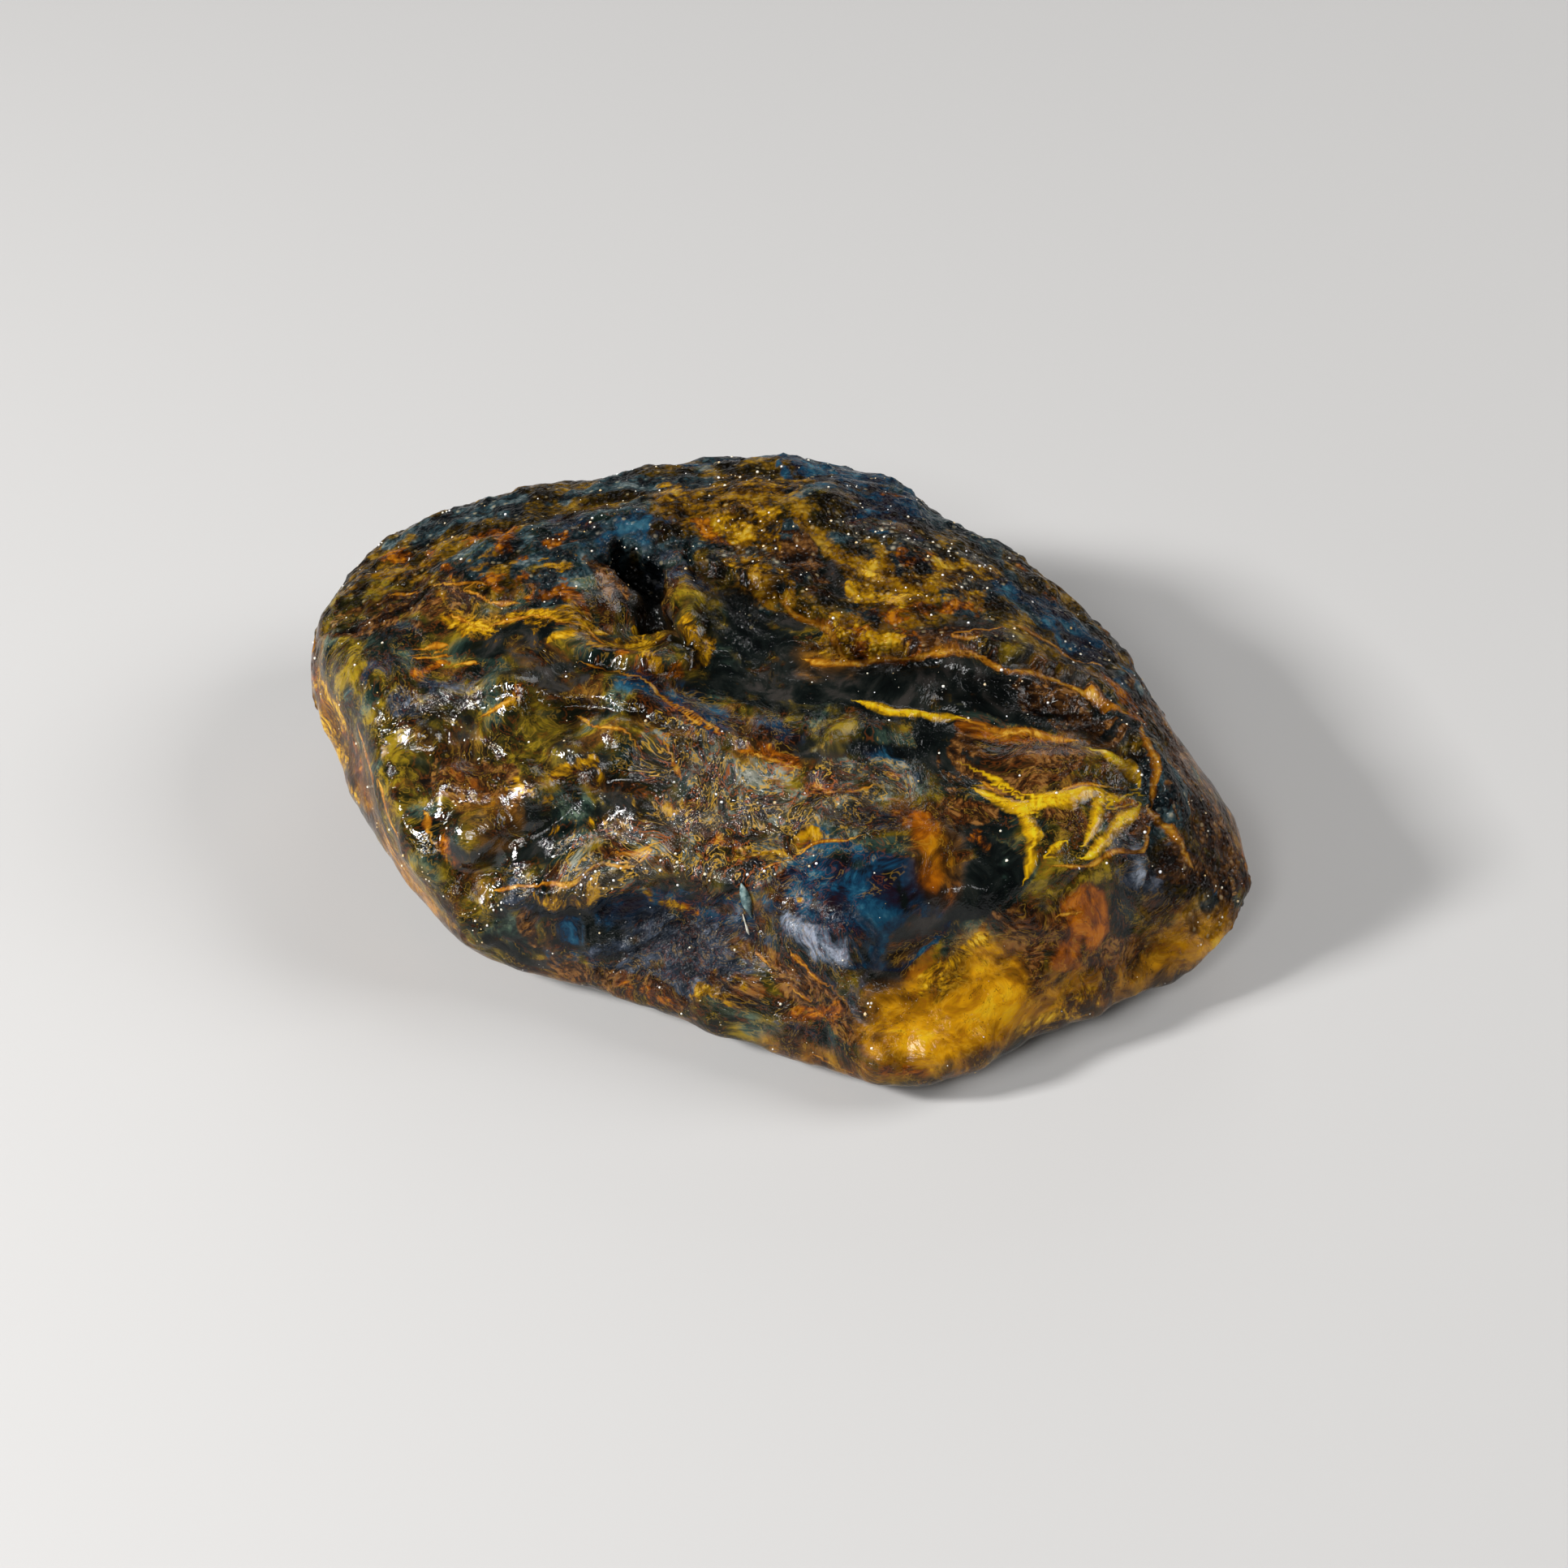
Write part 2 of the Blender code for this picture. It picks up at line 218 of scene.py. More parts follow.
# Each kind's (raggedness of its edge, share of it that the edge takes to fade, lightness of its core).
EDGES = {
    "rind": (1.4, 0.14, 0.0), "ochre": (1.6, 0.2, 0.2), "pale": (2.6, 0.15, 0.0),
    "dark": (1.2, 0.2, 0.0), "olive": (1.2, 0.3, 0.2), "blue": (1.4, 0.25, 0.3),
    "film": (1.5, 0.2, 0.3), "slate_and_sheen": (1.2, 0.35, 0.5), "rust": (1.5, 0.22, 0.2),
    "fibres": (1.6, 0.2, 0.0), "ember": (0.6, 0.45, 1.6), "honey": (1.0, 0.45, 0.5),
    "glow": (0.7, 0.5, 0.5), "orange": (2.2, 0.22, 0.6), "gold": (2.4, 0.2, 0.5),
}
# Rims of the broken faces: (points along the rim, height, half-width, how much it sparkles).
RIMS = (
    # left rim
    (((-35.9, 10.9, 15.2), (-33.4, 2.7, 16.6), (-31.3, -3.1, 16.9), (-30.1, -7.5, 15.6),
      (-28.7, -11.2, 13.4), (-26, -15.3, 10.7), (-22.9, -17.2, 6.6)), 0.45, 0.6, 1.5),
    # front rim
    (((-22.9, -17.1, 7), (-19.8, -17.3, 11.2), (-14.9, -17.9, 12.5), (-10.8, -17.5, 14.1),
      (-8.1, -17.4, 14.8), (-5.7, -18.3, 14.6), (-1.1, -19.7, 14.9), (3.1, -18.7, 16.2)), 0.6, 0.5, 3.0),
    # prow
    (((5.3, -22.4, 13.7), (5.7, -24.3, 12), (6.2, -26, 9.4), (7.5, -27.6, 7), (8.5, -29.2, 4.5)),
     0.55, 0.5, 2.0),
    # right rim
    (((5.7, -23.2, 13.1), (9.1, -22, 14.5), (13.9, -21, 15.4), (18.6, -20.7, 15.4),
      (22.8, -18.8, 15.7), (26.4, -17.4, 15.6), (30.2, -12, 16.4)), 0.3, 0.5, 0.4),
)
# Broken steps: (points along the edge, height). The side on the left of the way along stands higher.
STEPS = (
    # the rear skin ends over the smooth hollow
    (((30.2, -12, 16.4), (28.5, -8.2, 17.6), (24.7, -1.7, 18.7), (18.7, -1.1, 21.6),
      (15.5, -0.7, 22.5), (10.3, -0.9, 21.3), (7.1, -0.8, 21), (3.9, 1.8, 21.7), (0.6, 4.8, 23),
      (-3.3, 7.2, 22.7), (-7.4, 11.1, 20.7)), -0.75),
    # a second, thinner layer under it
    (((29.3, -11.7, 17), (27.8, -8.7, 18), (25.8, -4.9, 18.1), (22, -3.3, 19.1), (16.1, -2.9, 20.6),
      (11.6, -1.2, 21.5)), -0.4),
    # the pit's right and lower lip
    (((-7.8, 11.5, 20.8), (-5.6, 5.5, 21.5), (-5.6, 1.4, 21.2), (-6.8, -1.5, 20.7),
      (-9.7, -2.4, 21), (-13.6, -0.9, 20.9)), -0.7),
    # the crossing seam of the left front
    (((-20, -3.6, 19), (-14, -4.4, 20), (-7, -7.4, 20), (-2, -9, 20)), 0.45),
    # the torn edge of the front crust
    (((-22, -17.6, 10), (-15, -18.4, 11.5), (-8.5, -18.3, 13.5), (-3, -19.9, 13.4)), 0.4),
)
# Cracks and seams: (points along the groove, depth, half-width).
GROOVES = (
    (((-13, -1.6, 20.9), (-7.5, -5, 20.6), (-3, -8.5, 20)), 0.35, 0.35),
    (((22, -21, 15), (27, -16.5, 16), (30, -11, 16.6)), 0.3, 0.3),
    (((7.1, -1.2, 20.9), (14, -4.6, 20.5), (23, -4.6, 18.6)), 0.25, 0.4),
    (((-29, -2, 17), (-25, -7, 16.6), (-21, -10, 16)), 0.35, 0.5),
    (((-25, -11, 15), (-19, -12.5, 15.5), (-13, -11, 17.5)), 0.4, 0.5),
    (((-22, -16, 12), (-16, -16, 14), (-11, -14.5, 16)), 0.45, 0.45),
)
# Shell-like rings of a broken face: (centre, spacing, height, reach).
RINGS = (
    ((-23, 7, 23), 2.9, 0.06, 17),
    ((12, -14, 26), 2.3, 0.05, 16),
    ((14, -32, 14), 1.9, 0.05, 12),
)
# The torn slots of the pit: (points along it, half-width, depth).
SLOTS = (
    (((-12, 11.6, 21.5), (-10.4, 9.8, 20.8), (-9.6, 7.9, 19.9), (-9.6, 6.3, 19.4)), 2.0, 2.8),
    (((-9, 6.1, 19.3), (-7.8, 3, 20.7), (-6.4, 0.6, 21.7)), 1.15, 1.7),
)
# Rounded lumps of the broken left front: (centre, radius, height).
LUMPS = (
    ((-22.7, -5.5, 17.3), 3.2, 0.7),
    ((-25.1, -9.3, 15.5), 3.4, 0.9),
    ((-23.3, -13.9, 14.0), 2.6, 0.8),
    ((-18.2, -11.6, 16.8), 2.8, 0.9),
    ((-16.0, -8.6, 18.4), 2.4, 0.6),
    ((-19.8, -15.6, 12.6), 2.2, 0.6),
    ((-13.2, -7.0, 19.3), 2.2, 0.5),
    ((-28.6, -4.2, 16.6), 2.2, 0.6),
    ((-21.2, -2.6, 19.4), 2.4, 0.5),
    ((-11.4, -13.4, 16.2), 2.4, 0.5),
    ((-8.9, -16.6, 15.7), 1.8, 0.5),
    ((-5.1, -13.6, 17.0), 2.6, 0.5),
    ((-1.3, -14.1, 17.0), 2.4, 0.5),
)
# The markings on the viewer's side: for each kind, each marking's half-width and the points along it,
# in pixels of the view's square frame.
VIEW_MARKINGS = {
    "rind": (
        (70, (470, 720), (560, 650), (700, 620), (820, 600), (950, 590), (1100, 612), (1190, 670),
         (1300, 740), (1380, 830)),
        (60, (620, 700), (760, 660), (900, 650), (1050, 680), (1180, 720), (1290, 790)),
        (45, (960, 720), (1080, 770), (1180, 760)), (50, (1400, 880), (1440, 960), (1480, 1040)),
        (45, (1450, 1060), (1490, 1110)),
    ),
    "ochre": (
        (40, (910, 620), (945, 665)), (34, (1070, 715), (1120, 715), (1170, 720)),
        (26, (1000, 680), (1050, 720)), (24, (930, 700), (980, 740)),
        (22, (1030, 790), (1080, 770), (1130, 745)), (26, (830, 612), (890, 655)),
        (24, (900, 600), (960, 610)), (28, (1085, 700), (1100, 760)), (24, (1150, 700), (1190, 735)),
        (18, (430, 735), (470, 710), (520, 700)), (18, (600, 700), (560, 720)),
    ),
    "pale": (
        (16, (1055, 658), (1120, 670), (1200, 692)), (12, (1180, 720), (1215, 715)),
        (12, (900, 690), (960, 700)), (12, (690, 650), (740, 655)), (5, (1092, 836), (1124, 842)),
        (4, (1060, 840), (1085, 843)),
    ),
    "gold": (
        (20, (905, 640), (935, 655)), (12, (830, 600), (850, 620)), (15, (940, 600), (990, 598)),
        (14, (905, 700), (930, 705)), (11, (908, 662), (940, 680)), (8, (1072, 700), (1085, 740)),
        (8, (1160, 740), (1200, 728)), (13, (1060, 730), (1095, 745), (1120, 735)),
        (12, (1150, 700), (1190, 705)), (9, (1195, 705), (1220, 710)), (10, (1030, 770), (1015, 790)),
        (15, (1040, 786), (1068, 791), (1100, 799)), (9, (530, 675), (560, 668)),
        (15, (682, 700), (700, 700)), (12, (560, 760), (601, 782), (640, 765), (700, 772)),
        (14, (680, 790), (716, 786), (740, 806)), (9, (700, 755), (740, 780)),
        (19, (766, 803), (784, 797), (800, 800), (812, 814)), (9, (786, 780), (800, 788)),
        (8, (852, 765), (864, 790), (858, 812)), (7, (1119, 1232), (1169, 1190), (1211, 1156)),
        (5, (1130, 1240), (1180, 1205), (1215, 1180)), (8, (1250, 1270), (1300, 1250), (1340, 1225)),
        (8, (600, 885), (625, 868)), (5, (640, 975), (680, 985)), (5, (690, 1020), (740, 1020)),
        (6, (690, 950), (720, 940)), (5, (735, 965), (765, 960)), (7, (600, 1090), (620, 1080)),
        (6, (1000, 1035), (950, 1050), (905, 1055)), (7, (825, 998), (850, 1003)),
        (13, (862, 1218), (896, 1226)), (8, (675, 1100), (700, 1108), (735, 1098)), (6, (792, 1105)),
        (5, (820, 1110), (835, 1118)), (5, (990, 1110)),
    ),
    "orange": (
        (9, (1092, 738), (1100, 762)), (20, (1040, 784), (1070, 790), (1104, 798)),
        (13, (1080, 755), (1120, 762), (1185, 752)), (14, (870, 645), (900, 665)),
        (9, (1095, 612), (1118, 615)), (10, (1120, 690), (1160, 700)), (9, (1255, 700), (1290, 735)),
        (12, (1362, 848), (1385, 870), (1397, 895)), (15, (590, 668), (612, 662), (630, 680)),
        (10, (483, 690), (520, 690)), (9, (556, 702), (570, 712)), (12, (640, 690), (620, 680)),
        (10, (680, 672), (700, 668)), (13, (655, 738), (685, 733), (712, 742)),
        (10, (600, 712), (630, 720)), (11, (515, 832), (538, 824)),
        (5, (756, 808), (780, 820), (810, 827), (840, 822)), (12, (1190, 900), (1240, 906), (1280, 908)),
        (12, (1385, 995), (1405, 1005)), (7, (1200, 1035), (1215, 1050)), (8, (1525, 1050), (1530, 1090)),
        (6, (626, 866), (636, 858)), (14, (545, 1035), (560, 1062)),
        (7, (425, 900), (440, 915), (450, 950)), (8, (918, 924), (945, 932), (975, 944)),
        (7, (1005, 968), (1040, 975), (1090, 962)), (10, (880, 1030), (905, 1045)),
        (8, (1100, 1000), (1120, 1030)), (9, (975, 1245), (1028, 1245)), (5, (835, 1112), (850, 1122)),
        (7, (775, 1218), (818, 1228)), (8, (1089, 1322), (1130, 1326)),
    ),
    "dark": (
        (20, (985, 700), (1040, 735)), (16, (1108, 788), (1150, 782), (1195, 780)),
        (24, (612, 800), (650, 790)), (18, (640, 830), (700, 825)), (12, (450, 790), (500, 785)),
        # The markings from 778,692, from 822,768 and from 770,705 paint the pit near-black: painted shade in
        # it
        (20, (778, 692), (795, 714), (803, 742), (810, 765)), (9, (822, 768), (838, 790), (850, 806)),
        (10, (770, 705), (772, 745)), (40, (880, 760), (950, 790), (1000, 830), (1090, 850)),
        (36, (1130, 840), (1220, 850), (1310, 870)), (26, (1140, 880), (1165, 925), (1190, 945)),
        (26, (900, 830), (960, 860), (1020, 880)), (18, (1000, 925), (1080, 930), (1120, 940)),
        (34, (1000, 860), (1100, 850)), (26, (1240, 860), (1330, 885), (1370, 905)),
        (30, (870, 820), (930, 850)), (34, (1145, 905), (1165, 935)),
        (24, (1200, 1025), (1240, 1050), (1255, 1070)), (16, (1215, 960), (1240, 1000)),
        (44, (1080, 1125), (1130, 1110), (1215, 1085)), (22, (1075, 1170), (1085, 1215)),
        (20, (1230, 1100), (1250, 1120)), (17, (1405, 1180), (1425, 1196)), (18, (545, 875), (580, 890)),
        (24, (640, 1000), (705, 1005), (755, 1010)), (16, (700, 930), (740, 940)),
        (14, (560, 1040), (620, 1050), (680, 1040)), (10, (820, 1000), (850, 985)),
        (10, (900, 1018), (925, 1010)), (9, (960, 1010), (1000, 1000)), (8, (880, 1010), (905, 1000)),
        (38, (655, 1145), (735, 1145)), (24, (735, 1125), (800, 1130)), (14, (725, 1150), (770, 1160)),
    ),
    "rust": (
        (20, (960, 680), (1010, 720)), (13, (1115, 790), (1150, 788), (1190, 788)),
        (22, (1270, 858), (1330, 880), (1360, 895)), (22, (430, 775), (480, 755), (540, 745)),
        (14, (742, 705), (752, 745), (748, 780)), (8, (700, 735), (725, 760)),
        (32, (1205, 930), (1260, 938), (1300, 935)), (14, (1300, 1005), (1328, 1012)),
        (12, (1380, 1015), (1405, 1020)), (18, (1180, 1000), (1215, 1010)),
        (20, (1240, 1150), (1290, 1160)), (18, (1360, 1150), (1395, 1165)),
        (30, (1258, 1150), (1268, 1190), (1262, 1222)), (24, (1350, 1186), (1392, 1192)),
        (34, (1415, 870), (1440, 930), (1480, 1010)), (26, (1500, 1050), (1515, 1095)),
        (22, (1440, 1060), (1480, 1080)), (28, (560, 955), (585, 970), (612, 972)),
        (12, (690, 1080), (750, 1050), (810, 1010)), (8, (870, 950), (890, 975)),
        (12, (655, 1130), (662, 1150)), (12, (920, 1080), (960, 1085)),
        (16, (910, 1165), (960, 1195), (1010, 1235), (1050, 1270)), (14, (880, 1205), (930, 1225)),
        (18, (700, 1192), (760, 1212), (830, 1232)),
    ),
    "blue": (
        (44, (1010, 585), (1070, 590), (1110, 630)), (40, (1090, 625), (1050, 610)),
        (34, (1240, 730), (1290, 760), (1345, 815)), (24, (1290, 750), (1330, 790)),
        (16, (775, 645), (800, 655)), (14, (690, 640), (740, 660)), (12, (1075, 935), (1100, 945)),
        (14, (780, 835), (830, 862), (880, 890)), (10, (950, 905), (970, 915)),
        (14, (1450, 1060), (1480, 1095)), (9, (450, 838)), (8, (840, 960), (860, 950)),
        (44, (975, 1080), (1030, 1090), (1080, 1110)), (30, (1040, 1130), (1060, 1160)),
        (26, (1000, 1115), (1040, 1150)), (24, (1075, 1085), (1085, 1110)), (30, (930, 1075), (1000, 1065)),
        (28, (850, 1115), (900, 1120)), (15, (692, 1140), (700, 1175)), (26, (760, 1115), (820, 1115)),
    ),
    "seam": (
        (6, (985, 812), (1037, 816), (1075, 810), (1120, 806), (1200, 806), (1240, 822), (1300, 842),
         (1340, 860), (1385, 890)),
        (5, (1243, 775), (1290, 800), (1330, 822), (1366, 832)),
        (5, (960, 735), (985, 760), (1015, 782), (1040, 812)), (4, (1170, 800), (1215, 786), (1240, 780)),
        (4, (556, 756), (601, 778), (657, 764), (720, 775), (745, 806)),
        (4, (570, 735), (610, 745), (650, 745)), (3, (480, 740), (540, 726), (600, 722)),
        (7, (508, 806), (530, 796), (552, 798)), (4, (550, 826), (575, 816), (601, 822)),
        (3, (508, 815), (560, 810)), (3, (760, 820), (800, 845), (850, 880), (890, 900)),
        (8, (1184, 893), (1230, 905), (1275, 908), (1335, 912)),
        (4, (1286, 1078), (1340, 1062), (1405, 1040), (1420, 1015)),
        (4, (1200, 964), (1240, 980), (1262, 990)), (4, (1300, 974), (1350, 972), (1395, 966)),
        (3, (1300, 1130), (1330, 1128)), (6, (1415, 985), (1430, 1010), (1445, 1040), (1461, 1074)),
        (5, (1400, 905), (1415, 945), (1425, 990)), (6, (1523, 1045), (1533, 1085)),
        (4, (590, 892), (615, 872), (634, 860)), (4, (520, 1000), (535, 1040), (560, 1068)),
        (3, (610, 1100), (700, 1085), (780, 1060), (830, 1040)),
        (3, (712, 880), (740, 900), (770, 905), (800, 930)),
        (3, (716, 817), (760, 822), (800, 845), (850, 890), (890, 905)),
        (5, (445, 890), (462, 950), (470, 990)), (4, (470, 960), (485, 1000), (500, 1035)),
        (5, (925, 930), (953, 940), (978, 948)), (4, (1010, 980), (1050, 978), (1095, 970)),
        (4, (816, 912), (830, 905), (860, 905)), (4, (820, 915), (826, 945), (838, 965)),
        (4, (760, 1050), (800, 1045), (850, 1035)), (4, (940, 1075), (1000, 1050), (1060, 1030)),
        (4, (975, 1170), (1005, 1205), (1045, 1240)), (3, (930, 1175), (965, 1205), (1000, 1235)),
        (4, (1000, 1300), (1060, 1318)),
    ),
    "olive": (
        (9, (1205, 796), (1240, 798)), (9, (800, 786), (812, 796)),
        (20, (848, 735), (864, 765), (872, 800)), (20, (975, 890), (1020, 895)),
        (14, (1030, 905), (1060, 900)), (16, (1325, 940), (1350, 950)), (22, (1300, 1015), (1320, 1020)),
        (28, (1290, 1085), (1330, 1085), (1365, 1072)), (24, (1480, 1060), (1500, 1110)),
        (28, (600, 870), (640, 900), (655, 936)), (26, (550, 870), (590, 880)),
        (24, (620, 930), (665, 935)), (9, (680, 1000), (720, 995)), (18, (700, 1000), (740, 1040)),
        (16, (590, 1110), (620, 1135)), (26, (405, 850), (415, 900), (445, 960), (470, 1030)),
        (18, (425, 850), (440, 920), (455, 980), (475, 1030)), (12, (880, 940), (900, 955)),
        (14, (735, 1208), (790, 1220)), (18, (625, 1120), (650, 1145)), (14, (850, 1245), (920, 1262)),
    ),
    "honey": (
        (11, (1000, 812), (1035, 815)), (52, (1110, 1265), (1160, 1255), (1215, 1222)),
        (22, (1230, 1262), (1290, 1245), (1345, 1222)), (18, (1345, 1214), (1400, 1206)),
        (30, (1440, 1165), (1500, 1155)), (14, (1290, 1222), (1335, 1212), (1370, 1215)),
        (14, (600, 1000), (620, 1010)), (10, (412, 880), (432, 930), (455, 975)),
        (16, (1150, 1040), (1155, 1070)), (14, (960, 1290), (1010, 1305), (1060, 1320)),
    ),
    # Four of these are painted light: those from 838,706 and from 640,1100 are painted highlights, and those
    # from 1030,1215 and from 990,1205 paint the prow's sheen
    "film": (
        (5, (480, 780), (520, 775)), (8, (838, 706), (870, 710)), (7, (800, 694), (822, 700)),
        (22, (1395, 1045), (1420, 1070)), (12, (465, 820), (490, 835), (500, 865)),
        (7, (500, 862), (560, 842), (590, 835)), (8, (815, 960), (825, 980)),
        (12, (1060, 1005), (1095, 1010)), (26, (790, 1150), (840, 1170), (900, 1175)),
        (18, (850, 1150), (930, 1160)), (26, (760, 1190), (830, 1205), (890, 1195)),
        (22, (985, 1145), (1015, 1165), (1030, 1180)), (14, (640, 1100), (660, 1105)),
        (12, (1030, 1215), (1060, 1260), (1075, 1290)), (9, (990, 1205), (1030, 1240)),
        (9, (960, 1262), (1010, 1278)),
    ),
    "vein": (
        (10, (1050, 866), (1102, 877), (1153, 889), (1195, 893)),
        (8, (1338, 920), (1366, 930), (1390, 946), (1408, 974)),
        (7, (1186, 948), (1215, 957), (1243, 968), (1270, 980)),
        (10, (1246, 972), (1279, 981), (1342, 980), (1372, 983), (1410, 974)),
        (14, (1196, 974), (1225, 984), (1257, 996), (1300, 990)),
        (9, (1262, 1008), (1295, 992), (1340, 982)),
        (11, (1252, 990), (1266, 1014), (1282, 1036), (1279, 1060), (1258, 1092)),
        (6, (1284, 1066), (1303, 1054), (1316, 1036)),
        (14, (1362, 968), (1358, 990), (1350, 1012), (1334, 1040)),
        (8, (1330, 1056), (1362, 1038), (1386, 1014), (1411, 982)),
        (8, (1366, 1000), (1388, 982), (1408, 968)),
    ),
    "ember": (
        (33, (1331, 1122), (1332, 1138)), (24, (1322, 1150), (1312, 1182)), (9, (1124, 1192), (1138, 1200)),
        (9, (560, 948), (592, 964)), (22, (1130, 1016), (1148, 1050), (1150, 1085)),
    ),
    # The two markings on the prow's left side, from 990,1210 and from 1050,1240, are painted sheen
    "slate_and_sheen": (
        (9, (1394, 1040), (1404, 1062), (1410, 1084)), (18, (985, 1142), (1008, 1156), (1030, 1172)),
        (8, (975, 1130), (990, 1150)), (8, (1010, 1175), (1040, 1183)),
        (6, (990, 1210), (1020, 1240), (1060, 1275)), (5, (905, 1165), (960, 1195), (1010, 1225)),
        (6, (1050, 1240), (1070, 1270), (1082, 1300)), (5, (880, 1120), (905, 1118)),
    ),
    "glow": (
        (44, (1120, 1275), (1170, 1262), (1215, 1235)), (20, (1198, 1198), (1215, 1172)),
        (15, (1235, 1262), (1252, 1242)), (26, (1455, 1162), (1495, 1155)),
    ),
    "fibres": (
        (36, (840, 930), (880, 960), (900, 1000)), (36, (930, 985), (990, 1000), (1040, 985)),
        (34, (820, 1010), (870, 1040), (930, 1045)), (24, (730, 1070), (770, 1055), (810, 1040)),
        (22, (1040, 965), (1085, 975)),
    ),
}
# The markings on the other sides, in millimetres.
HIDDEN_MARKINGS = {
    "rind": (
        (8, (-30, 18, 12), (-15, 26, 12), (0, 28, 13), (15, 28, 12), (28, 18, 12)),
        (8, (-30, 18, 5), (-12, 27, 5), (5, 29, 5), (20, 26, 5), (33, 12, 6)),
    ),
    "ochre": (
        (4, (-20, 26, 8), (-12, 28, 10), (-4, 29, 9)), (3.5, (8, 29, 12), (15, 28, 14), (21, 25, 13)),
        (5, (26, 22, 8), (31, 16, 6)),
    ),
    "gold": (
        (1.6, (-16, 27, 12), (-10, 27, 14)), (1.4, (2, 29, 8), (7, 29, 6)), (1.2, (18, 27, 9), (23, 24, 7)),
        (1.3, (37, 2, 6), (37, -3, 5)), (1.2, (-37, 6, 10), (-36, 1, 9), (-35, -4, 8)),
        (1.3, (-14, -8, 0), (-4, -4, 0), (8, -6, 0), (18, -2, 0)), (1, (-18, 4, 0), (-6, 6, 0), (8, 4, 0)),
        (1, (-36, 6, 13), (-35, 1, 13)),
    ),
    "blue": (
        (4.5, (-5, 27, 15), (2, 28, 16)), (4, (12, 28, 5), (18, 27, 6)), (3.5, (-28, 20, 7), (-24, 23, 9)),
        (5, (-20, -6, 0), (-12, -2, 0)),
    ),
    "orange": (
        (1.2, (-24, 24, 12), (-18, 26, 13), (-12, 27, 12)), (1, (0, 29, 12), (6, 29, 13), (12, 28, 12)),
        (1.2, (24, 23, 12), (28, 19, 12)), (1.2, (36, 5, 12), (37, 0, 11)),
        (1.1, (-37, 8, 5), (-36, 2, 4), (-33, -6, 4)), (1, (-36, 12, 11), (-37, 6, 12)),
        (1.2, (-10, -12, 0), (2, -10, 0), (12, -14, 0)), (1, (0, 12, 0), (12, 10, 0), (24, 4, 0)),
        (0.6, (-36.5, 8, 13), (-36, 4, 12)), (0.5, (-34.5, -2, 11), (-33.5, -5, 10)),
        (0.6, (-36, 4, 8), (-34.5, -1, 8)),
    ),
    "dark": (
        (3, (-10, 28, 4), (-3, 29, 4)), (2.5, (10, 29, 9), (14, 28, 8)), (2, (37, -5, 4), (35, -10, 3)),
        (2, (-36, -2, 4), (-34, -7, 4)), (4, (10, 16, 0), (20, 12, 0)),
    ),
    "rust": (
        (3, (-33, 14, 9), (-30, 18, 10)), (3, (30, 17, 12), (34, 10, 12)),
        (5, (36, 4, 8), (37, -2, 8), (36, -7, 8)), (2.5, (-35, 12, 5), (-33, 15, 6)),
        (6, (-22, 8, 0), (-8, 12, 0), (6, 12, 0)),
    ),
    "film": (
        (2, (-20, 25, 5), (-15, 27, 4)), (2, (36, 8, 9), (35, 11, 8)), (3, (-4, 18, 0), (4, 20, 0)),
    ),
    "honey": (
        (4, (36, 6, 4), (37, -1, 4)), (4, (-37, 10, 6), (-36, 4, 5)), (5, (8, -12, 0), (20, -6, 0)),
        (2.4, (-37, 9, 12), (-36, 4, 11)), (2.2, (-35, -2, 11), (-33, -6, 10)),
        (2.2, (-31, -10, 8), (-28, -14, 6)),
    ),
    "olive": (
        (6, (-37, 8, 8), (-36, 0, 8), (-34, -6, 8)), (9, (-20, 0, 0), (0, 0, 0), (20, 0, 0)),
        (4, (-36, 11, 12), (-36, 4, 12), (-33, -3, 12), (-31, -9, 9)),
        (3, (-35, 10, 15), (-33, 0, 15.5), (-31, -7, 14.5)),
    ),
    "seam": (
        (0.4, (-31, -8, 11), (-30, -11, 9), (-28, -14, 7)),
    ),
}


# --- shape -------------------------------------------------------------------------------------


def surface_of(mesh):
    """The mesh's faces, for finding places on them."""
    return BVHTree.FromPolygons([v.co for v in mesh.vertices], [p.vertices for p in mesh.polygons])


class View:
    """Where the camera is, and where a point of its frame lies on the lump."""

    def __init__(self, stage):
        back = Vector((0, -math.cos(stage.height_angle), math.sin(stage.height_angle)))
        self.place = Vector(AIM) + stage.distance * back
        self.turn = (-back).to_track_quat("-Z", "Y")
        self.focal = stage.lens / SENSOR * FRAME_WIDTH

    def on(self, surface, x, y):
        """The frame's point, in millimetres on the surface."""
        way = self.turn @ Vector((x - FRAME_WIDTH / 2, FRAME_WIDTH / 2 - y, -self.focal))
        hit = surface.ray_cast(self.place, way.normalized())[0]
        if hit is None:
            raise ValueError(f"the frame's point {x:.0f}, {y:.0f} misses the lump")
        return hit / MM


def filled_in(path, step):
    """The path with more points along it, at most a step apart."""
    path = np.array(path, float)
    points = [path[0]]
    for start, end in zip(path, path[1:]):
        count = math.ceil(np.linalg.norm(end - start) / step)
        points += [start + (end - start) * (k + 1) / count for k in range(count)]
    return points


def laid_markings(mesh, view):
    """Each kind's markings as half-widths and paths on the mesh, in millimetres."""
    surface = surface_of(mesh)
    laid = {name: [] for name in PALETTES}
    for name, markings in VIEW_MARKINGS.items():
        for half_width, *path in markings:
            path = [view.on(surface, x, y) for x, y in filled_in(path, PATH_STEP * PIXELS_PER_MM)]
            laid[name].append((half_width / PIXELS_PER_MM, np.array(path)))
    for name, markings in HIDDEN_MARKINGS.items():
        for half_width, *path in markings:
            path = [surface.find_nearest(Vector(p) * MM)[0] / MM for p in filled_in(path, PATH_STEP)]
            laid[name].append((half_width, np.array(path)))
    return laid


def near_path(points, path, reach):
    """Which points lie in the path's own box, made larger by the reach."""
    path = np.array(path)
    low, high = path.min(axis=0) - reach, path.max(axis=0) + reach
    return np.flatnonzero(np.all((points > low) & (points < high), axis=1))


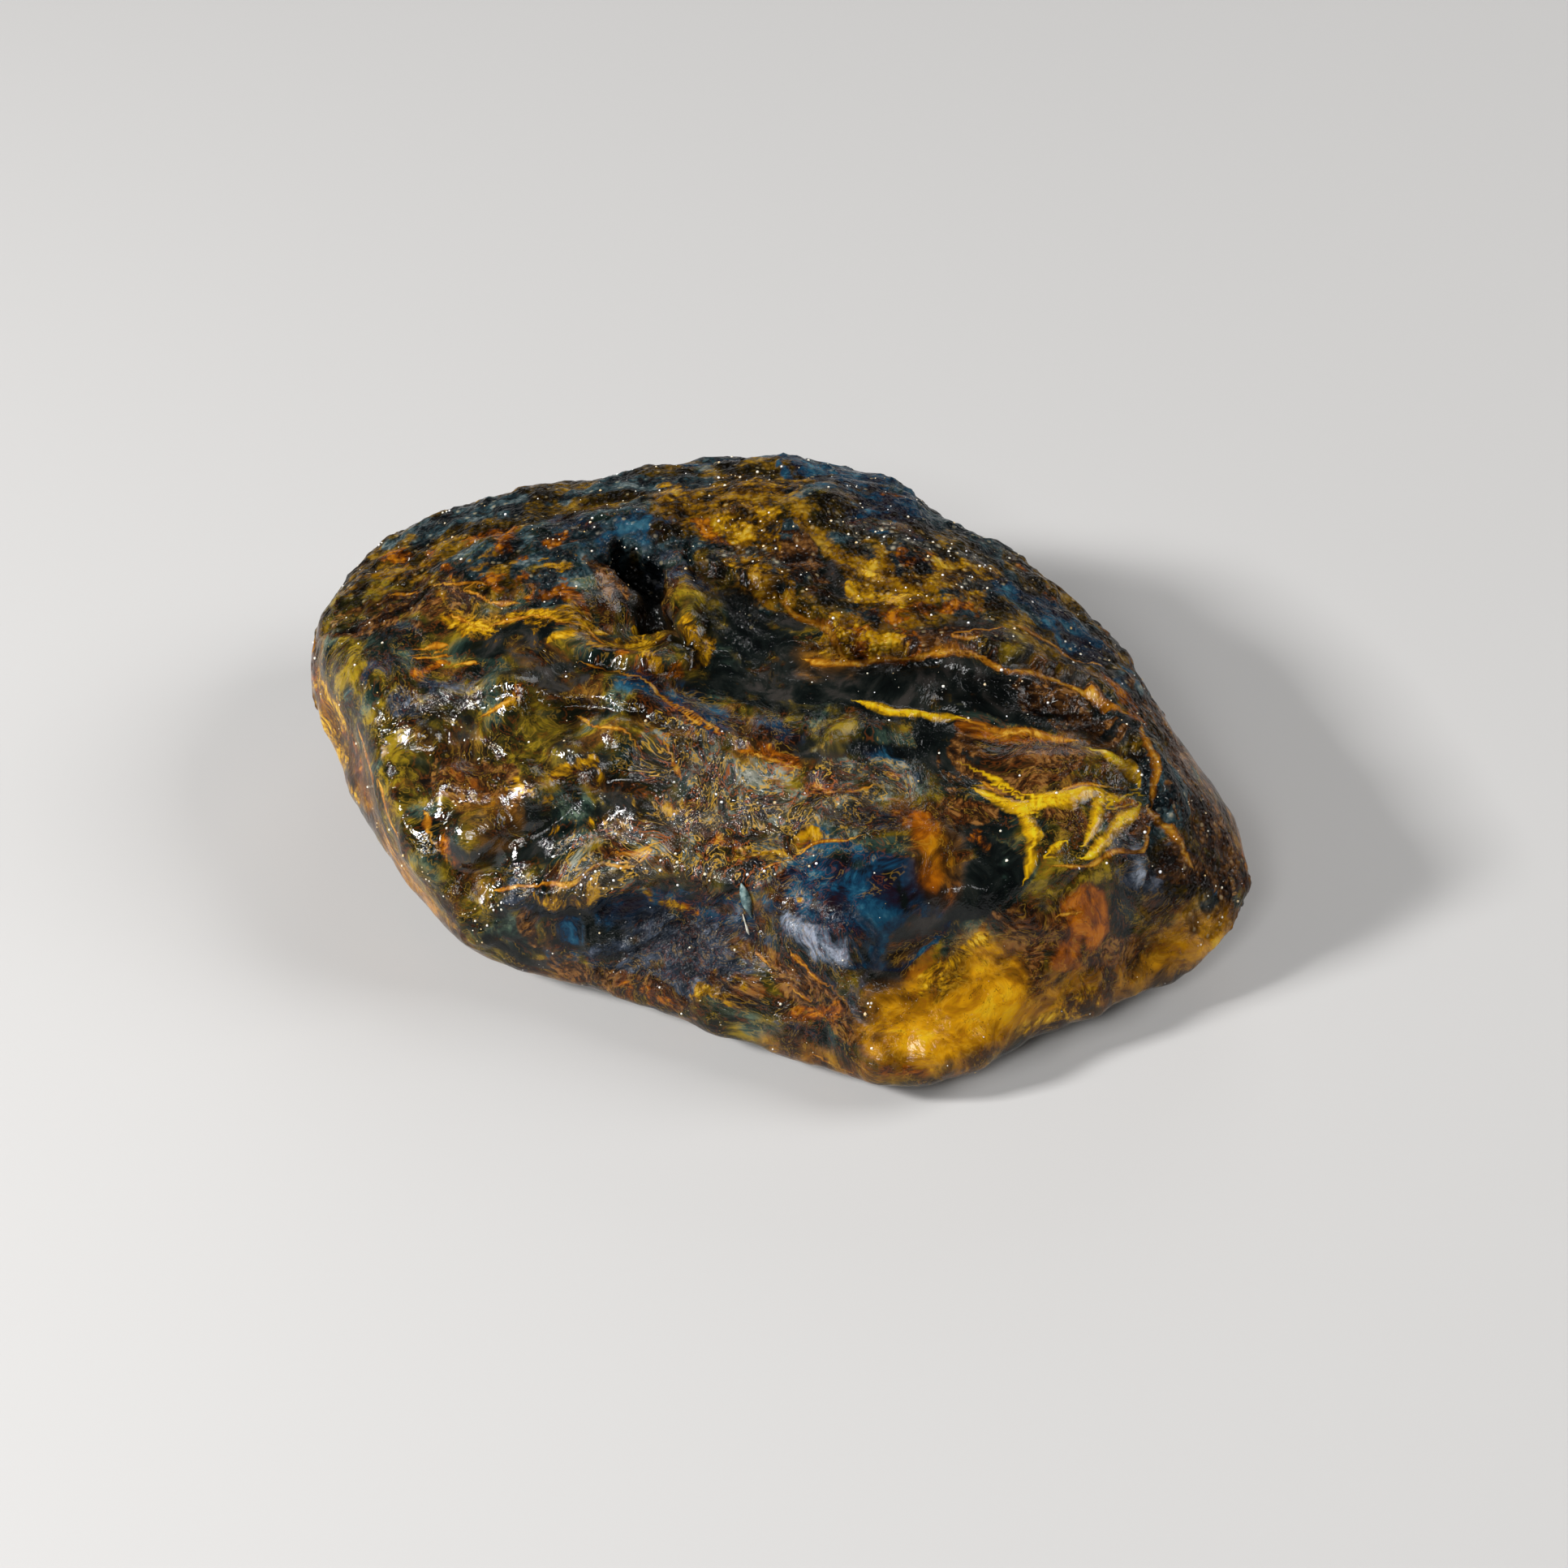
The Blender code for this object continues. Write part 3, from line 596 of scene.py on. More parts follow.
def along_path(points, path, normals=(0.0, 0.0, 1.0)):
    """Each point's distance to the path, how far along the path it is, and its distance to one side."""
    path = np.array(path, float)
    normals = np.broadcast_to(normals, points.shape)
    if len(path) == 1:
        away = points - path[0]
        distance = np.linalg.norm(away, axis=1)
        return distance, away[:, 0], distance
    nearest = np.full(len(points), np.inf)
    run = np.zeros(len(points))
    side = np.zeros(len(points))
    behind = 0.0
    for start, end in zip(path, path[1:]):
        along = end - start
        length = max(np.linalg.norm(along), 1e-6)
        share = np.clip((points - start) @ along / length**2, 0, 1)
        away = points - (start + share[:, None] * along)
        distance = np.linalg.norm(away, axis=1)
        closer = distance < nearest
        nearest[closer] = distance[closer]
        run[closer] = behind + length * share[closer]
        turn = np.sum(np.cross(along, away) * normals, axis=1)
        side[closer] = np.sign(turn)[closer] * distance[closer]
        behind += length
    return nearest, run, side


def fractal(points, waves, octaves, shift=0.0):
    """Fractal noise of about -1 to 1, with that many waves in a millimetre."""
    offset = Vector((shift, -shift, 2 * shift))
    return np.array([noise.fractal(Vector(p) * waves + offset, 1.0, 2.0, octaves) for p in points])


def swirled(points, waves, reach):
    """The points moved about by slow noise, so that a pattern read there swirls."""
    moved = [Vector(p) + reach * noise.noise_vector(Vector(p) * waves) for p in points]
    return np.array([tuple(p) for p in moved])


def evened(values):
    """The values spread about evenly from 0 to 1."""
    return 0.5 + 0.5 * np.tanh(0.8 * (values - values.mean()) / values.std())


def cells(points, waves):
    """Cell noise: (distance to the nearest cell's centre, distance to its border)."""
    found = [noise.voronoi(Vector(p) * waves)[0] for p in points]
    found = np.array([(near, second - near) for near, second, _, _ in found])
    return found[:, 0], found[:, 1]


def marked(points, normals, markings, softness, raggedness, tapered):
    """How far inside one kind of marking each point lies, and how far across the nearest one it is.

    The first is 0.5 on a marking's edge and 1 well inside. The second is 0 on its middle line, and -1
    or 1 on its edges.
    """
    inside = np.zeros(len(points))
    across = np.full(len(points), 9.0)
    for number, (half_width, path) in enumerate(markings):
        near = near_path(points, path, 2 * half_width + softness)
        distance, run, side = along_path(points[near], path, normals[near])
        grid = np.column_stack((0.22 * run + 9 * number, 0.75 * side, 0 * run))
        reach = half_width * np.maximum(1 + raggedness * fractal(grid, 1.0, 4), 0.25)
        if tapered:
            span = np.linalg.norm(np.diff(path, axis=0), axis=1).sum()
            from_end = np.minimum(run, span - run) / (THIN_TAPER * half_width)
            reach *= 0.15 + 0.85 * np.clip(from_end, 0, 1)
        inside[near] = np.maximum(inside[near], 0.5 + (reach - distance) / (2 * softness))
        closer = np.abs(side / reach) < np.abs(across[near])
        across[near[closer]] = (side / reach)[closer]
    return np.clip(inside, 0, 1), across


def flow_ways(points, laid):
    """The way the amber ran at each point, gathered from the markings near it."""
    gathered = np.tile(0.05 * np.outer(MAIN_FLOW, MAIN_FLOW), (len(points), 1, 1))
    for markings in laid.values():
        for half_width, path in markings:
            slender = min(1.0, np.linalg.norm(path[-1] - path[0]) / (5 * half_width))
            for start, end in zip(path, path[1:]):
                along = end - start
                length = max(np.linalg.norm(along), 1e-6)
                near = near_path(points, (start, end), 2 * FLOW_REACH)
                away = points[near] - (start + end) / 2
                pull = slender**2 * length / 4 * np.exp(-np.sum(away**2, axis=1) / FLOW_REACH**2)
                gathered[near] += pull[:, None, None] * np.outer(along, along) / length**2
    ways = np.linalg.eigh(gathered)[1][:, :, 2]
    ways *= np.where(ways @ np.array(MAIN_FLOW) < 0, -1, 1)[:, None]
    ways += swirled(points, *FLOW_BENDS) - points
    return ways / np.linalg.norm(ways, axis=1)[:, None]


def run_out(points, ways, waves, reach, octaves, shift=0.0):
    """Noise that is drawn out along the flow."""
    total = 0
    for share in np.linspace(-0.5, 0.5, RUN_STEPS):
        total = total + fractal(points + share * reach * ways, waves, octaves, shift)
    return total / RUN_EVENING


def smooth_step(low, high, values):
    """The values' share of the way from low to high, eased at both ends."""
    share = np.clip((values - low) / (high - low), 0, 1)
    return share * share * (3 - 2 * share)


def plain_relief(points, strayed, swirl, ways):
    """The relief of the bare broken amber: its rims, steps, grooves, rings and lumps."""
    relief = FULLNESS + BROAD_HEIGHT * fractal(swirl, *BROAD_NOISE)
    relief = relief + RUN_HEIGHT * run_out(swirl, ways, *RUN_NOISE)
    beads = 1 + BEADING * fractal(points, *BEADING_NOISE)
    for path, height, half_width, _ in RIMS:
        distance, _, _ = along_path(points, path)
        relief += height * beads * np.exp(-distance / half_width)
    moved = swirled(points, *STEP_STRAY)
    for path, height in STEPS:
        distance, _, side = along_path(moved, path)
        relief += height * np.tanh(side / STEP_KEENNESS) * np.exp(-distance / STEP_REACH)
    moved = swirled(points, *GROOVE_STRAY)
    for path, depth, half_width in GROOVES:
        distance, _, _ = along_path(moved, path)
        relief -= depth * np.exp(-((distance / half_width) ** 2))
    for centre, spacing, height, reach in RINGS:
        away = np.linalg.norm(swirl - np.array(centre), axis=1)
        fade = np.clip(1.5 * (1 - away / reach), 0, 1)
        relief += height * fade * np.sin(2 * math.pi * away / spacing)
    for centre, radius, height in LUMPS:
        away = np.linalg.norm(strayed - np.array(centre), axis=1)
        foot = 0.25 * height * np.exp(-(((away - 1.1 * radius) / 0.5) ** 2))
        relief += height * (1 - smooth_step(0.15, 1.0, away / radius)) - foot
    return relief


def broken_relief(points, strayed, ways, inside):
    """How far the broken surface stands out from the lump's plain form, in millimetres."""
    swirl = swirled(points, *BROAD_SWIRL)
    relief = plain_relief(points, strayed, swirl, ways)
    rind, fibres, film = (smooth_step(*KIND_EDGE, inside[name]) for name in ("rind", "fibres", "film"))
    grain, _ = cells(points, CRUST_GRAIN_CELLS)
    _, border = cells(swirl, CRACK_CELLS)
    relief += rind * (RIND_HEIGHT * fractal(points, *RIND_NOISE) + CRUST_GRAIN_HEIGHT * (0.45 - grain))
    threads = FIBRE_HEIGHT * run_out(swirl, ways, *FIBRE_NOISE)
    relief += fibres * (threads + FIBRE_GRAIN_HEIGHT * fractal(points, *FIBRE_GRAIN_NOISE))
    relief -= film * CRACK_DEPTH * (1 - smooth_step(0.0, CRACK_WIDTH, border))
    relief += film * RIPPLE_HEIGHT * run_out(swirl, ways, *RIPPLE_NOISE)
    veins = VEIN_HEIGHT * smooth_step(0.45, 0.9, inside["vein"])
    relief += veins + SEAM_HEIGHT * smooth_step(0.5, 1.0, inside["seam"])
    torn = swirled(swirled(points, *SLOT_STRAYS[0]), *SLOT_STRAYS[1])
    rough = 1 + TEARING * fractal(points, *TEARING_NOISE)
    for path, half_width, depth in SLOTS:
        distance, _, _ = along_path(torn, path)
        relief -= depth * rough * (1 - smooth_step(0.3, 1.0, distance / half_width))
    return relief


def mesh_from(shape, name):
    """A mesh of what the bmesh holds. The bmesh is freed."""
    mesh = bpy.data.meshes.new(name)
    shape.to_mesh(mesh)
    shape.free()
    return mesh


def linked_object(name, data):
    """An object with that data, in the scene."""
    obj = bpy.data.objects.new(name, data)
    bpy.context.scene.collection.objects.link(obj)
    return obj


def fine_lump(source, grain):
    """A fine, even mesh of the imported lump, with its loose triangles merged."""
    shape = bmesh.new()
    shape.from_mesh(source.data)
    bmesh.ops.remove_doubles(shape, verts=shape.verts, dist=MERGE_DISTANCE)
    lump = linked_object("lump", mesh_from(shape, "lump"))
    smoothing = lump.modifiers.new("smoothing", "SUBSURF")
    smoothing.levels = smoothing.render_levels = 1
    remesh = lump.modifiers.new("even_faces", "REMESH")
    remesh.mode = "VOXEL"
    remesh.voxel_size = grain
    remesh.use_smooth_shade = True
    fairing = lump.modifiers.new("fairing", "SMOOTH")
    fairing.factor, fairing.iterations = FAIRING
    fine = evaluated_mesh(lump)
    bpy.data.objects.remove(lump)
    return fine


def evaluated_mesh(obj):
    """A plain mesh of the object with its modifiers applied."""
    bpy.context.view_layer.update()
    graph = bpy.context.evaluated_depsgraph_get()
    return bpy.data.meshes.new_from_object(obj.evaluated_get(graph), depsgraph=graph)


def work_broken_surface(mesh, strength, view):
    """Moves each point along its normal by the broken relief, and marks what each point is made of."""
    noise.seed_set(NOISE_SEED)
    count = len(mesh.vertices)
    points, normals = np.empty(count * 3), np.empty(count * 3)
    mesh.vertices.foreach_get("co", points)
    mesh.vertices.foreach_get("normal", normals)
    points, normals = points.reshape(-1, 3) / MM, normals.reshape(-1, 3)
    strayed = swirled(points, *STRAY)
    laid = laid_markings(mesh, view)
    inside = {}
    for name, markings in laid.items():
        thin = name in THIN_MARKINGS
        softness = OWN_SOFTNESS.get(name, SOFTNESS)
        raggedness = OWN_RAGGEDNESS.get(name, RAGGEDNESS)
        inside[name], across = marked(strayed, normals, markings, softness, raggedness, thin)
        if thin:
            inside[name + "_across"] = across
    ways = flow_ways(points, laid)
    slow = swirled(points, *SLOW_SWIRL)
    fade = np.clip((points[:, 2] - BASE_BAND[0]) / (BASE_BAND[1] - BASE_BAND[0]), 0, 1)
    relief = broken_relief(points, strayed, ways, inside)
    rims = np.zeros(count)
    for path, _, _, sparkle in RIMS:
        rims = np.maximum(rims, sparkle * (1 - smooth_step(0.3, 1.2, along_path(points, path)[0])))
    wet = np.maximum.reduce((0.2 * inside["film"], 0.8 * inside["vein"], 0.4 * inside["fibres"]))
    for centre, radius, _ in LUMPS:
        away = np.linalg.norm(strayed - np.array(centre), axis=1)
        wet = np.maximum(wet, 1 - smooth_step(0.8, 1.5, away / radius))
    inside["wet"] = wet * (1 - 0.6 * inside["ember"])
    clusters = smooth_step(0.3, 0.9, evened(fractal(points, *CLUSTER_NOISE)))
    # How deep under the plain form a point lies: the colour gets painted shade there
    inside["hollow"] = 1 - smooth_step(*HOLLOW_DEPTHS, relief - FULLNESS)
    inside["hue"] = evened(fractal(slow, *HUE_NOISE))
    inside["patches"] = evened(fractal(slow, *PATCH_NOISE))
    inside["clear_of_base"] = smooth_step(*CLEAR_OF_BASE, points[:, 2])
    # Where the glints, painted highlights, are strewn
    inside["sparkling"] = inside["clear_of_base"] * (
        clusters * (0.3 + inside["rind"] + inside["fibres"]) + 2 * inside["pale"] + rims
    )
    points += normals * (strength * fade * relief)[:, None]
    low, high = (np.array(corner) / MM for corner in CAD_BOX)
    points = np.clip(points, low - (BOX_SLACK, BOX_SLACK, 0), high + BOX_SLACK)
    mesh.vertices.foreach_set("co", (points * MM).ravel())
    mesh.update()
    for name, values in inside.items():
        layer = mesh.attributes.new(name, "FLOAT", "POINT")
        layer.data.foreach_set("value", values.astype(np.float32))
    for name, vectors in (("flow", ways), ("swirl", swirled(slow, *FINE_SWIRL))):
        layer = mesh.attributes.new(name, "FLOAT_VECTOR", "POINT")
        layer.data.foreach_set("vector", vectors.astype(np.float32).ravel())


def finished_piece(name, mesh, material):
    """The mesh as an object of its own that rides on the lump's body and takes its slot's finish."""
    mesh.materials.clear()
    mesh.materials.append(material)
    piece = linked_object(name, mesh)
    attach(piece, BODY)
    return piece


# --- finish ------------------------------------------------------------------------------------


# The shader's sockets, as Nodes.set names them.
SHADER_SOCKETS = {
    "colour": "Base Color",
    "roughness": "Roughness",
    "ior": "IOR",
    "specular": "Specular IOR Level",
    "transmission": "Transmission Weight",
    "coat": "Coat Weight",
}


def feed(tree, socket, value):
    """Links the value to the socket if it is itself a socket, and sets it if not."""
    if isinstance(value, bpy.types.NodeSocket):
        tree.links.new(value, socket)
    else:
        socket.default_value = value


class Nodes:
    """Builds a material's nodes, one call for each."""

    def __init__(self, name):
        self.material = bpy.data.materials.new(name)
        self.material.use_nodes = True
        self.tree = self.material.node_tree
        self.shader = self.tree.nodes["Principled BSDF"]
        self.output = self.tree.nodes["Material Output"]
        place = self.add("ShaderNodeTexCoord").outputs["Object"]
        self.place = self.vector("SCALE", place, scale=1 / MM)

    def add(self, kind, **settings):
        node = self.tree.nodes.new(kind)
        for name, value in settings.items():
            setattr(node, name, value)
        return node

    def feed(self, socket, value):
        feed(self.tree, socket, value)

    def vector(self, operation, a, b=None, scale=None):
        node = self.add("ShaderNodeVectorMath", operation=operation)
        self.feed(node.inputs[0], a)
        if b is not None:
            self.feed(node.inputs[1], b)
        if scale is not None:
            self.feed(node.inputs["Scale"], scale)
        return node.outputs["Vector"]

    def math(self, operation, a, b=0.0, clamp=False):
        node = self.add("ShaderNodeMath", operation=operation, use_clamp=clamp)
        self.feed(node.inputs[0], a)
        self.feed(node.inputs[1], b)
        return node.outputs["Value"]

    def times(self, a, b, clamp=False):
        return self.math("MULTIPLY", a, b, clamp)

    def plus(self, a, b, clamp=False):
        return self.math("ADD", a, b, clamp)

    def minus(self, a, b, clamp=False):
        return self.math("SUBTRACT", a, b, clamp)

    def blend(self, *shares):
        """A mixture of values, from each one's share and itself."""
        total = 0.0
        for share, value in shares:
            total = self.plus(self.times(value, share), total)
        return total

    def noise(self, place, waves, detail=3.0, roughness=0.55, shift=0.0):
        """Noise of about 0 to 1, with that many waves in a millimetre."""
        moved = self.vector("ADD", place, (shift, shift, -shift))
        node = self.add("ShaderNodeTexNoise")
        self.feed(node.inputs["Vector"], moved)
        self.feed(node.inputs["Scale"], waves)
        self.feed(node.inputs["Detail"], detail)
        self.feed(node.inputs["Roughness"], roughness)
        return node.outputs["Fac"]

    def run_out(self, place, way, waves, reach, detail, shift, steps):
        """Noise that is drawn out along a way, over that reach."""
        total = 0.0
        for step in range(steps):
            offset = self.vector("SCALE", way, scale=reach * (step / (steps - 1) - 0.5))
            value = self.noise(self.vector("ADD", place, offset), waves, detail, 0.6, shift)
            total = self.math("ADD", value, total)
        return self.math("DIVIDE", total, float(steps))

    def threads(self, height, thinness, level):
        """Thin lines where a noise passes a level: 1 along a line and 0 away from it."""
        across = self.math("ABSOLUTE", self.math("SUBTRACT", height, level))
        return self.between(across, thinness, 0.0)

    def between(self, value, low, high, to_low=0.0, to_high=1.0):
        """The value's share of the way from low to high, eased at both ends."""
        node = self.add("ShaderNodeMapRange", interpolation_type="SMOOTHSTEP")
        self.feed(node.inputs["Value"], value)
        self.feed(node.inputs["From Min"], low)
        self.feed(node.inputs["From Max"], high)
        self.feed(node.inputs["To Min"], to_low)
        self.feed(node.inputs["To Max"], to_high)
        return node.outputs["Result"]

    def ramp(self, share, colours):
        """Colours spread evenly from 0 to 1."""
        node = self.add("ShaderNodeValToRGB")
        stops = node.color_ramp.elements
        while len(stops) < len(colours):
            stops.new(0.5)
        for index, colour in enumerate(colours):
            stops[index].position = index / (len(colours) - 1)
            stops[index].color = (*colour, 1)
        self.feed(node.inputs["Fac"], share)
        return node.outputs["Color"]

    def mix(self, share, a, b, blend="MIX"):
        node = self.add("ShaderNodeMix", data_type="RGBA", blend_type=blend)
        sockets = {s.identifier: s for s in node.inputs}
        self.feed(sockets["Factor_Float"], share)
        self.feed(sockets["A_Color"], a if not isinstance(a, tuple) else (*a, 1))
        self.feed(sockets["B_Color"], b if not isinstance(b, tuple) else (*b, 1))
        return next(s for s in node.outputs if s.identifier == "Result_Color")

    def attribute(self, name, output="Fac"):
        return self.add("ShaderNodeAttribute", attribute_name=name).outputs[output]

    def bump(self, height, distance, strength=1.0):
        node = self.add("ShaderNodeBump")
        self.feed(node.inputs["Height"], height)
        self.feed(node.inputs["Distance"], distance)
        self.feed(node.inputs["Strength"], strength)
        self.feed(self.shader.inputs["Normal"], node.outputs["Normal"])

    def set(self, **values):
        """Sets or links the shader's sockets."""
        for name, value in values.items():
            socket = self.shader.inputs[SHADER_SOCKETS[name]]
            self.feed(socket, (*value, 1) if isinstance(value, tuple) else value)


def amber_noises(n):
    """The noises that mix the amber's colours, its crust's beads, and where that crust is."""
    way = n.attribute("flow", "Vector")
    swirl = n.attribute("swirl", "Vector")
    beads = n.add("ShaderNodeTexVoronoi")
    n.feed(beads.inputs["Vector"], n.place)
    n.feed(beads.inputs["Scale"], BEAD_WAVES)
    crust = n.between(n.attribute("rind"), 0.2, 0.7)

    def on_crust(share, value, own):
        """The value, led toward the crust's own by that share of the crust."""
        change = n.times(n.minus(own, value), share)
        return n.plus(value, n.times(crust, change))

    middle = n.between(n.noise(swirl, *MIDDLE_NOISE), 0.34, 0.66)
    middle = on_crust(0.8, middle, n.between(n.noise(n.place, *MIDDLE_CRUST_NOISE), 0.34, 0.66))
    fine = n.between(n.noise(swirl, *FINE_NOISE), 0.32, 0.68)
    streaks = n.between(n.run_out(swirl, way, *STREAKS), 0.33, 0.67)
    hairs = n.between(n.run_out(swirl, way, *HAIRS), 0.34, 0.66)
    # Each bead lighter in its middle than at its border: painted shading that rounds the beads
    bead_shine = n.between(beads.outputs["Distance"], 0.65, 0.1)
    grains = n.blend((0.45, beads.outputs["Color"]), (0.3, bead_shine), (0.25, middle))
    return SimpleNamespace(
        hue=n.attribute("hue"), patches=n.attribute("patches"), middle=middle,
        fine=on_crust(0.9, fine, grains), streaks=on_crust(0.8, streaks, middle),
        hairs=on_crust(1.0, hairs, grains), grain=n.noise(n.place, *GRAIN_NOISE), grains=grains,
        bead_shine=bead_shine, bead_tone=beads.outputs["Color"], bead_distance=beads.outputs["Distance"],
        crust=crust,
    )


def colour_shares(n, f):
    """How light each kind of marking is, from 0 for its darkest colour to 1 for its lightest."""

    def eased(low, high, *shares):
        return n.between(n.blend(*shares), low, high)

    return {
        "rind": eased(0.18, 0.84, (0.3, f.patches), (0.45, f.grains), (0.25, f.middle)),
        "ochre": eased(0.12, 0.88, (0.35, f.patches), (0.4, f.grains), (0.25, f.middle)),
        "pale": eased(0.25, 0.95, (0.6, f.bead_tone), (0.4, f.bead_shine)),
        "dark": eased(0.12, 0.9, (0.35, f.hue), (0.35, f.streaks), (0.3, f.middle)),
        "olive": eased(0.12, 0.8, (0.4, f.patches), (0.35, f.streaks), (0.25, f.hairs)),
        "blue": eased(0.08, 1.0, (0.3, f.patches), (0.3, f.streaks), (0.25, f.middle), (0.15, f.fine)),
        "film": eased(0.12, 1.0, (0.5, f.streaks), (0.2, f.middle), (0.1, f.hairs), (0.2, f.patches)),
        "slate_and_sheen": eased(0.0, 0.85, (0.5, f.streaks), (0.2, f.fine), (0.3, f.middle)),
        "rust": eased(0.15, 0.88, (0.3, f.middle), (0.3, f.fine), (0.4, f.hairs)),
        "fibres": eased(0.2, 0.9, (0.12, f.hairs), (0.3, f.streaks), (0.28, f.fine), (0.3, f.patches)),
        "ember": n.blend((0.35, f.patches), (0.4, f.middle), (0.25, f.streaks)),
        "honey": eased(0.05, 0.95, (0.5, f.patches), (0.4, f.streaks), (0.1, f.middle)),
        "glow": eased(-0.2, 1.1, (0.5, f.patches), (0.5, f.streaks)),
        "orange": eased(0.15, 0.92, (0.35, f.streaks), (0.25, f.fine), (0.25, f.hairs), (0.15, f.patches)),
        "gold": eased(0.12, 0.95, (0.3, f.streaks), (0.25, f.fine), (0.25, f.hairs), (0.2, f.patches)),
    }


def marked_colour(n, f):
    """The bare amber's colour with each kind of marking laid over it, and how much each kind covers."""
    base = n.between(n.blend((0.4, f.patches), (0.25, f.streaks), (0.2, f.middle), (0.15, f.fine)), 0.12, 0.9)
    colour = n.ramp(base, OLIVE)
    colour = n.mix(n.between(f.hue, 0.55, 0.75), colour, n.ramp(base, UMBER))
    colour = n.mix(n.between(f.hue, 0.42, 0.2), colour, n.ramp(base, DEEP_GREEN))
    cooler = {
        "rind": (TEAL, n.between(f.hue, 0.44, 0.28)),
        "fibres": (GREY_GREEN, n.between(f.patches, 0.52, 0.72)),
        "olive": (DEEP_GREEN, n.between(f.hue, 0.38, 0.2)),
    }
    specks = n.times(f.crust, n.minus(f.grains, 0.5))
    edge = n.blend((0.5, f.middle), (0.35, f.streaks), (0.15, f.fine), (0.4, specks))
    edge = n.times(n.minus(edge, 0.5), 0.5)
    masks = {}

    def cover(colour, name, share, mask):
        own = n.ramp(share, PALETTES[name])
        if name in cooler:
            colours, cool = cooler[name]
            own = n.mix(cool, own, n.ramp(share, colours))
        masks[name] = mask
        return n.mix(mask, colour, own)

    for name, share in colour_shares(n, f).items():
        ragged, crisp, core = EDGES[name]
        inside = n.attribute(name)
        reach = n.times(inside, 4.0, clamp=True)
        field = n.plus(inside, n.times(edge, n.times(reach, ragged)))
        lift = n.times(n.minus(field, 0.8), core)
        share = n.plus(share, lift, clamp=True)
        colour = cover(colour, name, share, n.between(field, 0.5 - crisp, 0.5 + crisp))
    for name, wobble, fill in (("vein", 1.1, f.hairs), ("seam", 1.6, f.fine)):
        across = n.math("ABSOLUTE", n.attribute(name + "_across"))
        across = n.plus(across, n.times(edge, wobble))
        fill = n.minus(n.blend((0.45, fill), (0.7, f.streaks)), 0.2)
        share = n.plus(fill, n.between(across, 1.0, 0.1, -0.05, 0.4), clamp=True)
        tube = n.between(n.attribute(name), 0.3, 0.5)
        colour = cover(colour, name, share, n.times(tube, n.between(across, 1.1, 0.75)))
    return colour, masks


def threaded_colour(n, f, colour, masks):
    """The colour with threads and cracks drawn over it, painted highlights on the crust's beads, and painted
    shade in the hollows, with the fibres' gaps darker by noise.
    """

    def laid(amount, share, over, under):
        return n.mix(n.times(amount, share), under, over)

    fibrous = n.plus(masks["fibres"], 0.25, clamp=True)
    fibrous = n.minus(fibrous, n.times(masks["dark"], 0.25), clamp=True)
    fibrous = n.minus(fibrous, n.times(f.crust, 0.2), clamp=True)
    filmy = n.times(masks["film"], 0.1)
    pale = n.math("MAXIMUM", filmy, n.times(masks["fibres"], 0.15))
    colour = laid(n.threads(f.streaks, 0.06, 0.62), fibrous, GOLD_THREAD, colour)
    colour = laid(n.threads(f.streaks, 0.06, 0.38), fibrous, RUST_THREAD, colour)
    colour = laid(n.threads(f.hairs, 0.07, 0.6), pale, PALE_THREAD, colour)
    colour = laid(n.threads(f.middle, 0.025, 0.52), 0.8, CRACK, colour)
    # Painted highlights: pale dots on the crust's lightest beads
    bead_shine = n.times(n.between(f.bead_tone, 0.72, 0.9), n.between(f.bead_shine, 0.3, 0.9))
    colour = laid(bead_shine, n.times(f.crust, 0.55), PAINTED_CRUST_HIGHLIGHT, colour)
    # Painted shade in the hollows; the fibres' gaps are darker by noise
    gaps = n.times(n.between(f.middle, 0.6, 0.15), masks["fibres"])
    hollows = n.times(n.attribute("hollow"), 0.8)
    shade = n.math("MAXIMUM", hollows, n.times(gaps, 0.9))
    return n.mix(shade, colour, n.mix(1.0, colour, HOLLOW_SHADE, "MULTIPLY"))


def amber_material(looks):
    """Clear to clouded amber: see-through, absorbing, and marked by what grew and ran through it."""
    n = Nodes("amber")
    f = amber_noises(n)
    colour, masks = marked_colour(n, f)
    colour = threaded_colour(n, f, colour, masks)
    opaque = n.plus(f.crust, n.blend((0.8, masks["film"]), (0.6, masks["blue"])), clamp=True)
    rind, film = n.attribute("rind"), n.attribute("film")
    crusty = n.plus(rind, film, clamp=True)
    n.set(
        colour=n.mix(opaque, colour, n.mix(1.0, colour, SKIN_SHADE, "MULTIPLY")),
        transmission=n.between(opaque, 0.0, 1.0, looks.transmission, looks.skin_transmission),
        ior=looks.ior,
        roughness=n.plus(n.times(f.grain, 0.12), n.times(crusty, 0.12)),
        specular=n.between(n.attribute("wet"), 0.0, 1.0, looks.gloss, looks.wet_gloss),
    )
    bead_height = n.minus(f.fine, n.times(f.bead_distance, 0.9))
    height = n.times(bead_height, n.plus(rind, 0.12))
    grain_height = n.times(f.grain, n.plus(n.attribute("fibres"), film))
    ripples = n.times(f.streaks, film)
    n.bump(n.blend((1.0, height), (1.0, grain_height), (1.5, ripples)), 0.2 * MM)
    absorption = n.add("ShaderNodeVolumeAbsorption")
    absorption.inputs["Color"].default_value = (*looks.absorption_colour, 1)
    absorption.inputs["Density"].default_value = looks.absorption_density
    n.tree.links.new(absorption.outputs["Volume"], n.output.inputs["Volume"])
    return n.material


